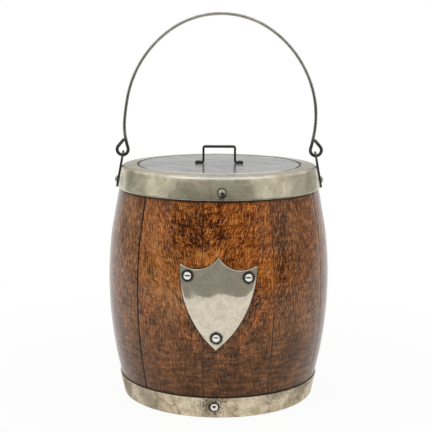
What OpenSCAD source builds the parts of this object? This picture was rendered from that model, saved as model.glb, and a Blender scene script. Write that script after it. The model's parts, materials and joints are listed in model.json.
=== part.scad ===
// Oak barrel ice bucket: bowed staves, plated collar and base hoop, ceramic liner, drop-in lid and wire bail.
// The front faces -Y, and azimuths run from the front towards +X. Sizes are millimetres and degrees.

/* [Barrel] */
// Outside diameter of the staves at their widest
bilge_d = 168; // [160:1:180]
// Radius of the long arc along the staves
bulge_r = 302; // [240:2:420]
// Length of the staves, measured upright
stave_h = 174; // [150:1:200]
// Height of the widest place above the floor
bilge_z = 89; // [82:1:96]
// Thickness of the staves
stave_t = 10; // [8:0.5:12]
// Number of staves
stave_count = 10; // [8:1:14]
// Width of a tight joint between two staves
joint_gap = 0.15; // [0.05:0.05:0.4]
// Width of the joint that has dried open
open_joint_gap = 0.6; // [0.1:0.05:1]
// Azimuth of the open joint
open_joint_az = -44; // [-80:1:80]
// Bevel on the inside of the staves at the foot
chime_bevel = 4; // [1:0.5:6]

/* [Bottom head] */
// Height of the underside of the head above the floor
head_z = 7; // [5:0.5:12]
// Thickness of the head
head_t = 8; // [6:0.5:12]
// Thickness of the tongue on the rim of the head
tongue_t = 4; // [2:0.5:5]
// Depth of the groove that holds the tongue
croze_depth = 3; // [1.5:0.5:4]
// Width of the bevel between the head's faces and its tongue
head_bevel = 4; // [1:0.5:8]

/* [Base hoop] */
// Height of the hoop
hoop_h = 16; // [12:0.5:24]
// Lean of the hoop, narrower towards the floor
hoop_lean = 12.5; // [8:0.5:16]
// Sheet thickness of the hoop
hoop_t = 0.9; // [0.6:0.1:1.4]
// Width of the foot that is turned in under the staves
foot_w = 6; // [4:0.5:9]
// Radius of the foot's bend, inside
foot_bend_r = 1.1; // [0.6:0.1:2]
// Height of the hoop's pins
hoop_pin_z = 9; // [6:0.5:12]
// Azimuth of the hoop's front pin; the other one is opposite
hoop_pin_az = -2; // [-6:0.5:6]

/* [Liner] */
// Wall of the ceramic liner
liner_wall = 4.5; // [3:0.5:7]
// Floor of the liner
liner_floor = 5; // [3:0.5:8]
// Thickness of the lip
lip_t = 3.4; // [2.5:0.1:5]
// Space between the liner and the narrowest inside of the staves
liner_gap = 2; // [1:0.5:4]
// Space between the liner and the bottom head
liner_foot_gap = 0.6; // [0.3:0.1:2]
// Round inside the liner at its floor
liner_floor_r = 8; // [3:0.5:15]
// Round outside the liner at its floor
liner_foot_r = 5; // [2:0.5:8]
// Wood left outside the rebate that carries the lip
rim_wall = 7; // [5:0.5:8]

/* [Collar] */
// Height of the collar's band
collar_h = 16.4; // [12:0.1:24]
// Lean of the band, narrower towards the mouth
collar_lean = 10.5; // [6:0.5:15]
// Sheet thickness of the collar
collar_t = 1; // [0.6:0.1:1.4]
// Radius of the top corner, inside
collar_corner_r = 1.2; // [0.8:0.1:2]
// Rise of the flange from the corner to the opening
flange_rise = 0.8; // [0:0.1:2]
// Radius of the bends at the opening and the seat, inside
seat_bend_r = 0.2; // [0.1:0.05:0.25]
// Depth of the lid's seat below the edge of the opening
seat_depth = 1.6; // [1.6:0.1:5]
// Width of the lid's seat
seat_w = 7.2; // [4:0.1:9]
// Reach of the seat over the inside of the liner
seat_lap = 1.5; // [0.5:0.1:3]
// Height of the collar's screws above the band's lower edge
collar_screw_rise = 5.7; // [4:0.1:9]
// Azimuth of the collar's front screw; the other one is opposite
collar_screw_az = 1.5; // [-8:0.5:8]

/* [Lid] */
// Sheet thickness of the lid plate
lid_t = 1.4; // [0.8:0.1:2]
// Rise of the plate's crown
lid_crown = 0.3; // [0.1:0.1:3]
// Height of the locating ring
ring_h = 6; // [4:0.5:12]
// Sheet thickness of the locating ring
ring_t = 1; // [0.6:0.1:1.5]
// Play round the plate and round the ring
lid_play = 0.8; // [0.3:0.05:1]

/* [Lid handle] */
// Outside width over the legs
handle_w = 25.5; // [20:0.5:34]
// Height over the feet's underside
handle_h = 13.4; // [10:0.1:20]
// Width of the strip
handle_strip_w = 6; // [4:0.5:9]
// Thickness of the strip
handle_strip_t = 1.6; // [1:0.1:2.5]
// Radius of the bends, inside
handle_bend_r = 0.3; // [0.2:0.1:1.5]
// Length of a foot outside its leg
handle_foot_l = 5.5; // [5:0.5:9]
// Diameter of the rivets' heads
rivet_head_d = 3.2; // [2.8:0.1:4.4]
// Height of the rivets' heads
rivet_head_h = 0.4; // [0.3:0.1:1.2]
// Diameter of the rivets' shanks
rivet_d = 1.8; // [1.2:0.1:2.2]

/* [Ears] */
// Thickness of the straps
ear_t = 1.5; // [1:0.1:2]
// Width of the straps
ear_w = 6.6; // [5.6:0.1:8]
// Radius of the rounded foot of the straps
ear_foot_r = 6; // [5.8:0.1:12]
// Radius of the eye at the top
ear_eye_r = 3.5; // [3.2:0.1:4.4]
// Height of the eye's centre above the collar's corner
ear_rise = 6.9; // [6:0.1:10]
// Reach of the strap below the collar's band
ear_drop = 1.5; // [0.5:0.1:4]
// Height of the ear screws above the band's lower edge
ear_screw_rise = 5.2; // [3:0.1:7]

/* [Bail] */
// Diameter of the wire
wire_d = 2.4; // [1.8:0.1:2.8]
// Height of the wire's middle at the crown above the eyes of the ears
bail_h = 106.6; // [92:0.2:130]
// Height of the bail's widest place above the eyes of the ears
bail_belly_h = 28; // [20:1:36]
// How much tighter the crown's radius is than half the bail's width
crown_inset = 6.2; // [4:0.1:10]
// Radius of the end loops at the middle of the wire
loop_r = 4.2; // [4:0.1:6]
// Angle at which the end loops stop curling and run straight to the wire
loop_end_angle = 40; // [20:1:60]
// Radial play of the wire in the eyes of the ears
eye_play = 0.35; // [0.2:0.05:0.6]

/* [Shield] */
// Width of the shield
shield_w = 54; // [40:1:66]
// Height of the shield from its tip to its peak
shield_h = 67; // [60:1:80]
// Height of the tip above the floor
shield_z = 53.8; // [44:0.1:62]
// Azimuth of the shield's middle
shield_az = -0.6; // [-4:0.1:4]
// Turn of the shield in its own plane, clockwise from the front
shield_turn = 1.5; // [-2:0.1:2]
// Thickness of the plate
shield_t = 1; // [0.6:0.1:1.6]
// Height of the widest place above the tip
shield_belly_h = 59; // [52:0.5:62]
// Drop from the peak to the two upper corners
shield_corner_drop = 5.7; // [4:0.1:8]
// Radius of the two hollows in the upper edge
shield_hollow_r = 19; // [16:0.5:28]
// Distance of the upper pins from the sides
shield_pin_side = 5.5; // [5:0.1:9]
// Distance of the upper pins below the peak
shield_pin_drop = 13.9; // [12:0.1:18]
// Distance of the lower pin above the tip
shield_pin_rise = 9; // [8:0.1:14]

/* [Fasteners] */
// Diameter of the dome pins' heads
pin_head_d = 6; // [4:0.1:7]
// Height of the dome pins' heads
pin_head_h = 2; // [1:0.1:2.8]
// Diameter of the dome pins' shanks
pin_d = 2; // [1.4:0.1:2.6]
// Diameter of the screws' heads
screw_head_d = 5.2; // [4:0.1:6]
// Height of the screws' heads
screw_head_h = 1.7; // [1:0.1:2.4]
// Diameter of the screws' shanks
screw_d = 2.4; // [1.6:0.1:2.8]
// Width of the screws' slots
slot_w = 0.8; // [0.5:0.1:1.2]
// Depth of the screws' slots
slot_depth = 0.7; // [0.4:0.1:0.9]
// Wood left beyond the points of the shanks
point_cover = 2; // [1:0.5:3]

/* [Fits] */
// Gap between sheet metal and wood, and under heads and straps
seat_fit = 0.1; // [0.05:0.05:0.3]
// Radial gap round the shanks of pins, screws and rivets
shank_fit = 0.1; // [0.05:0.05:0.2]
// Gap round the tongue of the head and round the liner's lip
wood_fit = 0.2; // [0.1:0.05:0.4]

/* [Hidden] */
$fn = 144;
bend_steps = 6;
crown_steps = 8;
// Overshoot of cutting shapes past what they cut
past = 1;
// How far the turned cones reach inside the arc of the staves
turning_run = 4;

// Barrel: one long arc, turned to cones where the collar and the hoop sit
stave_z0 = hoop_t;
stave_z1 = stave_z0 + stave_h;
bulge_x = bilge_d / 2 - bulge_r;
stave_angle = 360 / stave_count;

// Collar, from the top of the staves up
collar_z = stave_z1 + seat_fit + collar_t;
collar_z0 = collar_z - collar_h;
flange_z = collar_z + flange_rise;
seat_z = flange_z - seat_depth;

// Liner, hung by its lip under the collar's seat
lip_z1 = seat_z - collar_t - wood_fit;
lip_z0 = lip_z1 - lip_t;
rebate_r = collar_skin_r(stave_z1, 0) - rim_wall;
lip_r = rebate_r - wood_fit;
liner_z0 = head_z + head_t + liner_foot_gap;
liner_r = min(inner_r(lip_z0), inner_r(liner_z0)) - liner_gap;
well_r = liner_r - liner_wall;
seat_r = well_r - seat_lap;
opening_r = seat_r + seat_w;

// Bottom head in its groove
croze_r = inner_r(head_z + head_t / 2) + croze_depth;
tongue_z = head_z + (head_t - tongue_t) / 2;
tongue_r0 = inner_r(tongue_z) - wood_fit;
head_r = croze_r - wood_fit;

// Straps that lie on the collar's band
ear_z0 = collar_z0 - ear_drop;
pivot_z = collar_z + ear_rise;
pivot_x = ear_x(pivot_z);

// Lid
lid_z = seat_z + seat_fit;
lid_r = opening_r - lid_play;
ring_r = seat_r - lid_play;
crown_r = ring_r - ring_t;
handle_leg_x = handle_w / 2;
handle_z = lid_z + lid_t + crown_rise(handle_leg_x) + seat_fit;
rivet_x = handle_leg_x + (handle_foot_l + handle_bend_r) / 2;
rivet_tail_z = lid_z + crown_rise(rivet_x + rivet_head_d / 2) - shank_fit;
rivet_l = handle_z + handle_strip_t - rivet_tail_z;

// Bail, in its own plane with the eyes of the ears at height 0
bail_rise = bail_h - bail_belly_h;
bail_half_w = fitted_half_w(pivot_x - 4 * loop_r, pivot_x + 4 * loop_r);
crown_wire_r = bail_half_w - crown_inset;
side_wire_r = side_r(bail_half_w);
side_centre = [bail_half_w - side_wire_r, bail_belly_h];
crown_centre = [0, bail_h - crown_wire_r];
loop_centre = [pivot_x, loop_r];
crown_angle = angle_to(side_centre, crown_centre);
loop_angle = angle_to(side_centre, loop_centre);
tail_start = loop_centre + loop_r * heading(loop_end_angle);
tail_l = reach(tail_start, heading(loop_end_angle + 90), side_centre, side_wire_r + wire_d);
// Tight bends are drawn a hair thinner, and lap a little way inside the next stretch
bend_wire_d = wire_d - 0.02;
wire_lap = 0.15;

// Shield
shield_lift = seat_fit + shield_t;
shield_r = (pow(shield_belly_h, 2) + pow(shield_w / 2, 2)) / shield_w;
shield_z1 = shield_z + shield_h;
shield_belly_z = shield_z + shield_belly_h;
shield_corner_z = shield_z1 - shield_corner_drop;
shield_corner_x = shield_w / 2 - shield_r + leg(shield_r, shield_corner_z - shield_belly_z);
hollow_chord = [shield_corner_x, -shield_corner_drop];
hollow_centre = [0, shield_z1] + hollow_chord / 2
    + leg(shield_hollow_r, norm(hollow_chord) / 2) * left(unit(hollow_chord));
shield_pin_x = shield_w / 2 - shield_pin_side;
shield_middle = [0, shield_z + shield_h / 2];
shield_pin_spots = [for (spot = [
    [-shield_pin_x, shield_z1 - shield_pin_drop],
    [shield_pin_x, shield_z1 - shield_pin_drop],
    [0, shield_z + shield_pin_rise],
]) shield_middle + turned(spot - shield_middle, -shield_turn)];

// Fasteners: how far each kind reaches below its head
shield_pin_l = shield_lift + stave_t - point_cover;
hoop_pin_l = seat_fit + hoop_t + stave_t - croze_depth - point_cover;
collar_screw_l = seat_fit + collar_t + rim_wall - point_cover;
ear_screw_l = 2 * seat_fit + ear_t + collar_t + stave_t - point_cover;

oak = [0.50, 0.25, 0.09];
pale_oak = [0.66, 0.45, 0.24];
glaze = [0.93, 0.92, 0.88];
plate_metal = [0.68, 0.66, 0.57];
wire_metal = [0.40, 0.39, 0.35];
dark_metal = [0.28, 0.27, 0.25];

// Plane geometry

function unit(v) = v / norm(v);
function left(v) = [-v.y, v.x];
function turned(v, a) = [v.x * cos(a) - v.y * sin(a), v.x * sin(a) + v.y * cos(a)];
function heading(a) = [cos(a), sin(a)];
function angle_to(from, to) = atan2(to.y - from.y, to.x - from.x);
// The other short side of a right triangle
function leg(hypotenuse, side) = sqrt(pow(hypotenuse, 2) - pow(side, 2));
// How far a ray runs before it meets a circle from outside
function reach(start, dir, centre, r) =
    let (to = centre - start, along = to * dir)
    along - leg(r, cross(dir, to));

// Points and normals round one bend of a strip's middle line
function bend(a, b, c, r) =
    let (
        u = unit(b - a),
        v = unit(c - b),
        turn = atan2(cross(u, v), u * v),
        side = sign(turn),
        centre = b - r * tan(abs(turn) / 2) * u + side * r * left(u)
    )
    [for (k = [0:bend_steps]) let (n = turned(left(u), turn * k / bend_steps)) [centre - side * r * n, n]];

// Points and normals along a strip's middle line; one bend radius for each inner corner
function strip_line(path, radii) =
    let (last = len(path) - 1)
    concat(
        [[path[0], left(unit(path[1] - path[0]))]],
        [for (i = [1:1:last - 1]) each bend(path[i - 1], path[i], path[i + 1], radii[i - 1])],
        [[path[last], left(unit(path[last] - path[last - 1]))]]
    );

// Section of bent sheet of thickness t along its middle line
module strip(path, radii, t) {
    line = strip_line(path, radii);
    one_side = [for (s = line) s[0] + s[1] * t / 2];
    other_side = [for (i = [len(line) - 1:-1:0]) line[i][0] - line[i][1] * t / 2];
    polygon(concat(one_side, other_side));
}

// Closed outline with a round at each corner that has a radius
function rounded(points, radii) =
    let (n = len(points))
    [for (i = [0:n - 1])
        each radii[i] == 0
            ? [points[i]]
            : [for (s = bend(points[(i + n - 1) % n], points[i], points[(i + 1) % n], radii[i])) s[0]]];

// Barrel surface

// Outside radius of the barrel at a height, or of a skin that lies some way off it
function barrel_r(z, lift = 0) = bulge_x + leg(bulge_r + lift, z - bilge_z);
function inner_r(z) = barrel_r(z, -stave_t);
// Upward tilt of the barrel's surface at a height
function barrel_tilt(z, lift) = asin((z - bilge_z) / (bulge_r + lift));
// Radius at a height of a skin that lies some way off the cones turned for the collar and for the hoop
function collar_skin_r(z, lift) =
    barrel_r(collar_z0) - (z - collar_z0) * tan(collar_lean) + lift / cos(collar_lean);
function hoop_skin_r(z, lift) =
    barrel_r(hoop_h) - (hoop_h - z) * tan(hoop_lean) + lift / cos(hoop_lean);
function ear_x(z) = collar_skin_r(z, 2 * seat_fit + collar_t + ear_t / 2);

// Lid and bail

function crown_rise(r) = lid_crown * max(0, 1 - pow(r / crown_r, 2));
// Radius of the bail's sides that leads smoothly into its crown
function side_r(half_w) =
    (pow(half_w, 2) + pow(bail_rise, 2) - 2 * bail_rise * (half_w - crown_inset)) / (2 * crown_inset);
// Where the end loop comes to lie for a bail of this half width
function loop_x(half_w) =
    half_w - side_r(half_w) + leg(side_r(half_w) + loop_r, bail_belly_h - loop_r);
// Half width that brings the end loops to the eyes of the ears
function fitted_half_w(low, high, rounds = 40) =
    let (middle = (low + high) / 2)
    rounds == 0 ? middle
    : loop_x(middle) < pivot_x ? fitted_half_w(middle, high, rounds - 1)
    : fitted_half_w(low, middle, rounds - 1);

// Fasteners, with the underside of the head at height 0 and the shank below

// Half section of a domed head
module dome_section(head_d, head_h) {
    dome_r = (pow(head_d / 2, 2) + pow(head_h, 2)) / (2 * head_h);
    intersection() {
        translate([0, head_h - dome_r])
            circle(dome_r);
        square([head_d, head_h]);
    }
}

module fastener(head_d, head_h, shank_d, shank_l) {
    rotate_extrude() {
        dome_section(head_d, head_h);
        polygon([
            [0, head_h / 4],
            [shank_d / 2, head_h / 4],
            [shank_d / 2, shank_d - shank_l],
            [0, -shank_l],
        ]);
    }
}

module pin(shank_l) {
    fastener(pin_head_d, pin_head_h, pin_d, shank_l);
}

module screw(shank_l) {
    difference() {
        fastener(screw_head_d, screw_head_h, screw_d, shank_l);
        translate([-slot_w / 2, -screw_head_d, screw_head_h - slot_depth])
            cube([slot_w, 2 * screw_head_d, slot_depth + past]);
    }
}

module shank_hole(shank_d, shank_l) {
    translate([0, 0, -shank_l - shank_fit])
        cylinder(d = shank_d + 2 * shank_fit, h = shank_l + shank_fit + past);
}

// Turns an upright fastener outwards at a place on the wall
module on_wall(az, r, z, tilt) {
    rotate([0, 0, az])
        translate([0, -r, z])
            rotate([90 - tilt, 0, 0])
                translate([0, 0, seat_fit])
                    children();
}

module shield_pin_places() {
    for (spot = shield_pin_spots) {
        r = barrel_r(spot.y, shield_lift);
        on_wall(shield_az + asin(spot.x / r), r, spot.y, barrel_tilt(spot.y, shield_lift))
            children();
    }
}

module hoop_pin_places() {
    for (turn = [0, 180])
        on_wall(hoop_pin_az + turn, hoop_skin_r(hoop_pin_z, seat_fit + hoop_t), hoop_pin_z, -hoop_lean)
            children();
}

module collar_screw_places() {
    z = collar_z0 + collar_screw_rise;
    for (turn = [0, 180])
        on_wall(collar_screw_az + turn, collar_skin_r(z, seat_fit + collar_t), z, collar_lean)
            children();
}

module ear_screw_places() {
    z = collar_z0 + ear_screw_rise;
    for (az = [-90, 90])
        on_wall(az, collar_skin_r(z, 2 * seat_fit + collar_t + ear_t), z, collar_lean)
            children();
}

// Everything that is drilled into the staves
module stave_holes() {
    shield_pin_places()
        shank_hole(pin_d, shield_pin_l);
    hoop_pin_places()
        shank_hole(pin_d, hoop_pin_l);
    collar_screw_places()
        shank_hole(screw_d, collar_screw_l);
    ear_screw_places()
        shank_hole(screw_d, ear_screw_l);
}

// Barrel

// Skin between two lifts off the barrel's surface, as a section
module barrel_skin(low, high) {
    translate([bulge_x, bilge_z])
        difference() {
            circle(bulge_r + high, $fn = 4 * $fn);
            circle(bulge_r + low, $fn = 4 * $fn);
        }
}

// Space outside one half of the staves: beyond the arc, and beyond a cone's line that ends inside the arc
module outside_wood(inside, end) {
    bilge_side = bilge_z + sign(bilge_z - end.y) * past;
    difference() {
        polygon([
            [inner_r(bilge_z), bilge_side],
            inside,
            end,
            [bilge_d, end.y],
            [bilge_d, bilge_side],
        ]);
        translate([bulge_x, bilge_z])
            circle(bulge_r, $fn = 4 * $fn);
    }
}

module stave_section() {
    bevel_r = inner_r(stave_z0);
    top_r = collar_skin_r(stave_z1, 0);
    foot_r = hoop_skin_r(stave_z0, 0);
    difference() {
        intersection() {
            barrel_skin(-stave_t, stave_t);
            translate([0, stave_z0])
                square([bilge_d, stave_h]);
        }
        outside_wood(
            [collar_skin_r(collar_z0 - turning_run, 0), collar_z0 - turning_run],
            [collar_skin_r(stave_z1 + past, 0), stave_z1 + past]
        );
        outside_wood(
            [hoop_skin_r(hoop_h + turning_run, 0), hoop_h + turning_run],
            [hoop_skin_r(stave_z0 - past, 0), stave_z0 - past]
        );
        // Rebate under the liner's lip
        translate([0, lip_z0])
            square([rebate_r, stave_h]);
        // Groove for the head
        translate([0, tongue_z - wood_fit])
            square([croze_r, tongue_t + 2 * wood_fit]);
        // Bevel inside the foot
        polygon([
            [bevel_r - past, stave_z0 - past],
            [bevel_r + chime_bevel + past, stave_z0 - past],
            [bevel_r - past, stave_z0 + chime_bevel + past],
        ]);
        // Eased edges in the bends of the collar and the hoop
        polygon([
            [top_r + past, stave_z1 + past],
            [top_r - collar_corner_r - past, stave_z1 + past],
            [top_r + past, stave_z1 - collar_corner_r - past],
        ]);
        polygon([
            [foot_r + past, stave_z0 - past],
            [foot_r - foot_bend_r - past, stave_z0 - past],
            [foot_r + past, stave_z0 + foot_bend_r + past],
        ]);
    }
}

// Angle taken by half of the joint before a stave; joint 1 is the open one
function half_joint(i) = asin((i == 1 ? open_joint_gap : joint_gap) / bilge_d);

module stave(i) {
    before = half_joint(i);
    after = half_joint(i % stave_count + 1);
    start_az = open_joint_az + (i - 1) * stave_angle + before;
    color(oak)
        difference() {
            rotate([0, 0, start_az - 90])
                rotate_extrude(angle = stave_angle - before - after)
                    stave_section();
            stave_holes();
        }
}

module bottom_head() {
    bevel_r = tongue_r0 - head_bevel;
    color(pale_oak)
        rotate_extrude()
            polygon([
                [0, head_z],
                [bevel_r, head_z],
                [tongue_r0, tongue_z],
                [head_r, tongue_z],
                [head_r, tongue_z + tongue_t],
                [tongue_r0, tongue_z + tongue_t],
                [bevel_r, head_z + head_t],
                [0, head_z + head_t],
            ]);
}

module base_hoop() {
    foot_z = hoop_t / 2;
    color(plate_metal)
        difference() {
            rotate_extrude()
                strip(
                    [
                        [hoop_skin_r(hoop_h, seat_fit + foot_z), hoop_h],
                        [hoop_skin_r(foot_z, seat_fit + foot_z), foot_z],
                        [hoop_skin_r(stave_z0, 0) - foot_w, foot_z],
                    ],
                    [foot_bend_r + hoop_t / 2],
                    hoop_t
                );
            hoop_pin_places()
                shank_hole(pin_d, hoop_pin_l);
        }
}

module hoop_pins() {
    color(plate_metal)
        hoop_pin_places()
            pin(hoop_pin_l);
}

// Liner

module liner() {
    lip_round = lip_t / 3;
    color(glaze)
        rotate_extrude()
            polygon(rounded(
                [
                    [0, liner_z0],
                    [liner_r, liner_z0],
                    [liner_r, lip_z0],
                    [lip_r, lip_z0],
                    [lip_r, lip_z1],
                    [well_r, lip_z1],
                    [well_r, liner_z0 + liner_floor],
                    [0, liner_z0 + liner_floor],
                ],
                [0, liner_foot_r, 0, lip_round, lip_round, lip_round, liner_floor_r, 0]
            ));
}

// Collar and its ears

module collar() {
    half_t = collar_t / 2;
    wall_r = opening_r + half_t;
    corner_z = collar_z - half_t;
    color(plate_metal)
        difference() {
            rotate_extrude()
                strip(
                    [
                        [collar_skin_r(collar_z0, seat_fit + half_t), collar_z0],
                        [collar_skin_r(corner_z, seat_fit + half_t), corner_z],
                        [wall_r, flange_z - half_t],
                        [wall_r, seat_z - half_t],
                        [seat_r, seat_z - half_t],
                    ],
                    [collar_corner_r + half_t, seat_bend_r + half_t, seat_bend_r + half_t],
                    collar_t
                );
            collar_screw_places()
                shank_hole(screw_d, collar_screw_l);
            ear_screw_places()
                shank_hole(screw_d, ear_screw_l);
        }
}

module collar_screws() {
    color(plate_metal)
        collar_screw_places()
            screw(collar_screw_l);
}

// Face of an ear, seen along X: a strap with a rounded foot and an eye at the top
module ear_face() {
    difference() {
        union() {
            translate([0, pivot_z])
                circle(ear_eye_r);
            intersection() {
                translate([-ear_w / 2, ear_z0])
                    square([ear_w, pivot_z - ear_z0]);
                union() {
                    translate([0, ear_z0 + ear_foot_r])
                        circle(ear_foot_r);
                    translate([-ear_w, ear_z0 + ear_foot_r])
                        square([2 * ear_w, pivot_z]);
                }
            }
        }
        translate([0, pivot_z])
            circle(wire_d / 2 + eye_play);
    }
}

module right_ear_shape() {
    ear_z1 = pivot_z + ear_eye_r + past;
    difference() {
        intersection() {
            rotate([90, 0, 0])
                linear_extrude(height = 4 * ear_w, center = true)
                    strip([[ear_x(ear_z0 - past), ear_z0 - past], [ear_x(ear_z1), ear_z1]], [], ear_t);
            rotate([90, 0, 90])
                linear_extrude(height = bilge_d)
                    ear_face();
        }
        ear_screw_places()
            shank_hole(screw_d, ear_screw_l);
    }
}

module right_ear() {
    color(wire_metal)
        right_ear_shape();
}

module left_ear() {
    color(wire_metal)
        mirror([1, 0, 0])
            right_ear_shape();
}

module ear_screws() {
    color(wire_metal)
        ear_screw_places()
            screw(ear_screw_l);
}

// Bail

module wire_arc(centre, r, from, to, d) {
    translate([centre.x, centre.y, 0])
        rotate([0, 0, from])
            rotate_extrude(angle = to - from)
                translate([r, 0])
                    circle(d = d);
}

module half_bail() {
    loop_lap = wire_lap / loop_r * 180 / PI;
    wire_arc(side_centre, side_wire_r, loop_angle, crown_angle, wire_d);
    wire_arc(
        loop_centre, loop_r,
        180 + loop_angle - loop_lap, 360 + loop_end_angle + loop_lap,
        bend_wire_d
    );
    translate([tail_start.x, tail_start.y, 0])
        rotate([0, 0, loop_end_angle])
            rotate([-90, 0, 0])
                cylinder(d = wire_d, h = tail_l);
}

module bail() {
    crown_lap = wire_lap / crown_wire_r * 180 / PI;
    color(wire_metal)
        translate([0, 0, pivot_z])
            rotate([90, 0, 0])
                union() {
                    half_bail();
                    mirror([1, 0, 0])
                        half_bail();
                    wire_arc(
                        crown_centre, crown_wire_r,
                        crown_angle - crown_lap, 180 - crown_angle + crown_lap,
                        bend_wire_d
                    );
                }
}

// Lid

module lid_plate() {
    crown = [for (i = [0:crown_steps]) let (r = crown_r * i / crown_steps) [r, lid_z + crown_rise(r)]];
    under = concat(crown, [[lid_r, lid_z]]);
    over = [for (i = [len(under) - 1:-1:0]) under[i] + [0, lid_t]];
    color(plate_metal)
        difference() {
            rotate_extrude()
                polygon(concat(under, over));
            rivet_places()
                translate([0, 0, -handle_h])
                    cylinder(d = rivet_d + 2 * shank_fit, h = 2 * handle_h);
        }
}

module lid_ring() {
    color(plate_metal)
        translate([0, 0, lid_z - ring_h])
            rotate_extrude()
                translate([ring_r - ring_t, 0])
                    square([ring_t, ring_h]);
}

module lid_handle() {
    foot_z = handle_z + handle_strip_t / 2;
    bar_z = handle_z + handle_h - handle_strip_t / 2;
    leg_x = handle_leg_x - handle_strip_t / 2;
    end_x = handle_leg_x + handle_foot_l;
    bend_r = handle_bend_r + handle_strip_t / 2;
    color(dark_metal)
        difference() {
            rotate([90, 0, 0])
                linear_extrude(height = handle_strip_w, center = true)
                    strip(
                        [
                            [-end_x, foot_z], [-leg_x, foot_z], [-leg_x, bar_z],
                            [leg_x, bar_z], [leg_x, foot_z], [end_x, foot_z],
                        ],
                        [bend_r, bend_r, bend_r, bend_r],
                        handle_strip_t
                    );
            rivet_places()
                shank_hole(rivet_d, handle_strip_t + past);
        }
}

module rivet_places() {
    for (side = [-1, 1])
        translate([side * rivet_x, 0, handle_z + handle_strip_t])
            children();
}

module handle_rivets() {
    color(dark_metal)
        rivet_places()
            rotate_extrude() {
                dome_section(rivet_head_d, rivet_head_h);
                translate([0, -rivet_l - rivet_head_h / 2])
                    square([rivet_d / 2, rivet_l + rivet_head_h]);
                translate([0, -rivet_l - rivet_head_h])
                    square([rivet_head_d / 2, rivet_head_h]);
            }
}

// Shield

// Outline of the shield, seen from the front: two long arcs meet at the tip, two hollows meet at the peak
module shield_face() {
    difference() {
        intersection() {
            intersection_for(side = [-1, 1])
                translate([side * (shield_w / 2 - shield_r), shield_belly_z])
                    circle(shield_r);
            translate([-shield_w, shield_z - past])
                square([2 * shield_w, hollow_centre.y - shield_z + past]);
        }
        for (side = [-1, 1])
            translate([side * hollow_centre.x, hollow_centre.y])
                circle(shield_hollow_r);
    }
}

module shield() {
    half_angle = asin(shield_w / bilge_d) + past;
    color(plate_metal)
        difference() {
            intersection() {
                rotate([0, 0, shield_az - 90 - half_angle])
                    rotate_extrude(angle = 2 * half_angle)
                        intersection() {
                            barrel_skin(seat_fit, shield_lift);
                            translate([0, shield_z - past])
                                square([bilge_d, shield_h + 2 * past]);
                        }
                rotate([90, 0, shield_az])
                    linear_extrude(height = bilge_d)
                        translate(shield_middle)
                            rotate(-shield_turn)
                                translate(-shield_middle)
                                    shield_face();
            }
            shield_pin_places()
                shank_hole(pin_d, shield_pin_l);
        }
}

module shield_pins() {
    color(plate_metal)
        shield_pin_places()
            pin(shield_pin_l);
}

for (i = [1:stave_count])
    stave(i);
bottom_head();
liner();
base_hoop();
hoop_pins();
collar();
collar_screws();
left_ear();
right_ear();
ear_screws();
bail();
lid_plate();
lid_ring();
lid_handle();
handle_rivets();
shield();
shield_pins();
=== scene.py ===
"""Oak barrel ice bucket: modelled pieces and finishes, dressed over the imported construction.

Sizes are millimetres and degrees. Pieces are scaled to metres as they are written, in the frame of the
construction: +Z up, the front towards -Y, azimuths from the front towards +X.
"""

from __future__ import annotations

import json
import logging
import math
from abc import ABC, abstractmethod
from collections.abc import Iterable, Sequence
from dataclasses import dataclass, replace
from enum import Enum
from functools import cached_property, reduce
from typing import Any, ClassVar

import bmesh
import bpy
from bmesh.types import BMEdge, BMesh, BMVert
from mathutils import Matrix, Vector, noise

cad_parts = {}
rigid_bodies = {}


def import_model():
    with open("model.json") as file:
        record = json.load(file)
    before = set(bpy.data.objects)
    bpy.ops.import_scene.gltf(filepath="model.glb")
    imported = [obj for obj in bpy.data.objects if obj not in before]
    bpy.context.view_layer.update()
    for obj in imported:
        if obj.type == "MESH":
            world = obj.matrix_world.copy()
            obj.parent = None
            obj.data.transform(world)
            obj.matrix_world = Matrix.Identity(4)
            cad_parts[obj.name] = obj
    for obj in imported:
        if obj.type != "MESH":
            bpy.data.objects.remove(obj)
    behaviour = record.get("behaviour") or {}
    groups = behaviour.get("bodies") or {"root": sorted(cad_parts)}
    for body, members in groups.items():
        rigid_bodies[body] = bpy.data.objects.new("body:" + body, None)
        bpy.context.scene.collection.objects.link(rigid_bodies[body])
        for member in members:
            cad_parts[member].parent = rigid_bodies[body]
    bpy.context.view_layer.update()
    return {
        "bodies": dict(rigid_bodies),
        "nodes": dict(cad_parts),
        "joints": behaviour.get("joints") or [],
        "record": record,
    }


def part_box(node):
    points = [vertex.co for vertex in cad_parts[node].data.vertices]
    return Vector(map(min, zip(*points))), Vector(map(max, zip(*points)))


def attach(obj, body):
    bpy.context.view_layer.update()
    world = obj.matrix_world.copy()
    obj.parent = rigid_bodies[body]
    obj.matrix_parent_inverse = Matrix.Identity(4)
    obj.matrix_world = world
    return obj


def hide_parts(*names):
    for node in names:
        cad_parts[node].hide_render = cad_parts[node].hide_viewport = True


Point = tuple[float, float]
Place = tuple[float, float, float]
Colour = tuple[float, float, float]
Line = list[tuple[Vector, Vector]]
Stains = tuple[tuple[Place, float], ...]
Socket = bpy.types.NodeSocket

LOG = logging.getLogger("ice_bucket")
MM = 0.001
MERGE_DISTANCE = 0.001
BEND_STEPS = 8
SHEET_SPACING = 1.5
DOME_STEPS = 12
LIP_STEPS = 5
SEARCH_STEPS = 40
LEAST_UPWARD = 0.1
FAR = 50.0
CLOUD_RANGE = (0.3, 0.7)
MIDDLE = (0.0, 0.0, 0.0)
WHITE = (1.0, 1.0, 1.0)
ROOM_GREY = (0.03, 0.03, 0.028)
SIDE_GREY = (0.36, 0.36, 0.36)


class Body(Enum):
    """The bodies of the construction that pieces ride on."""

    BARREL = "barrel"
    LID = "lid"
    BAIL = "bail"


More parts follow.
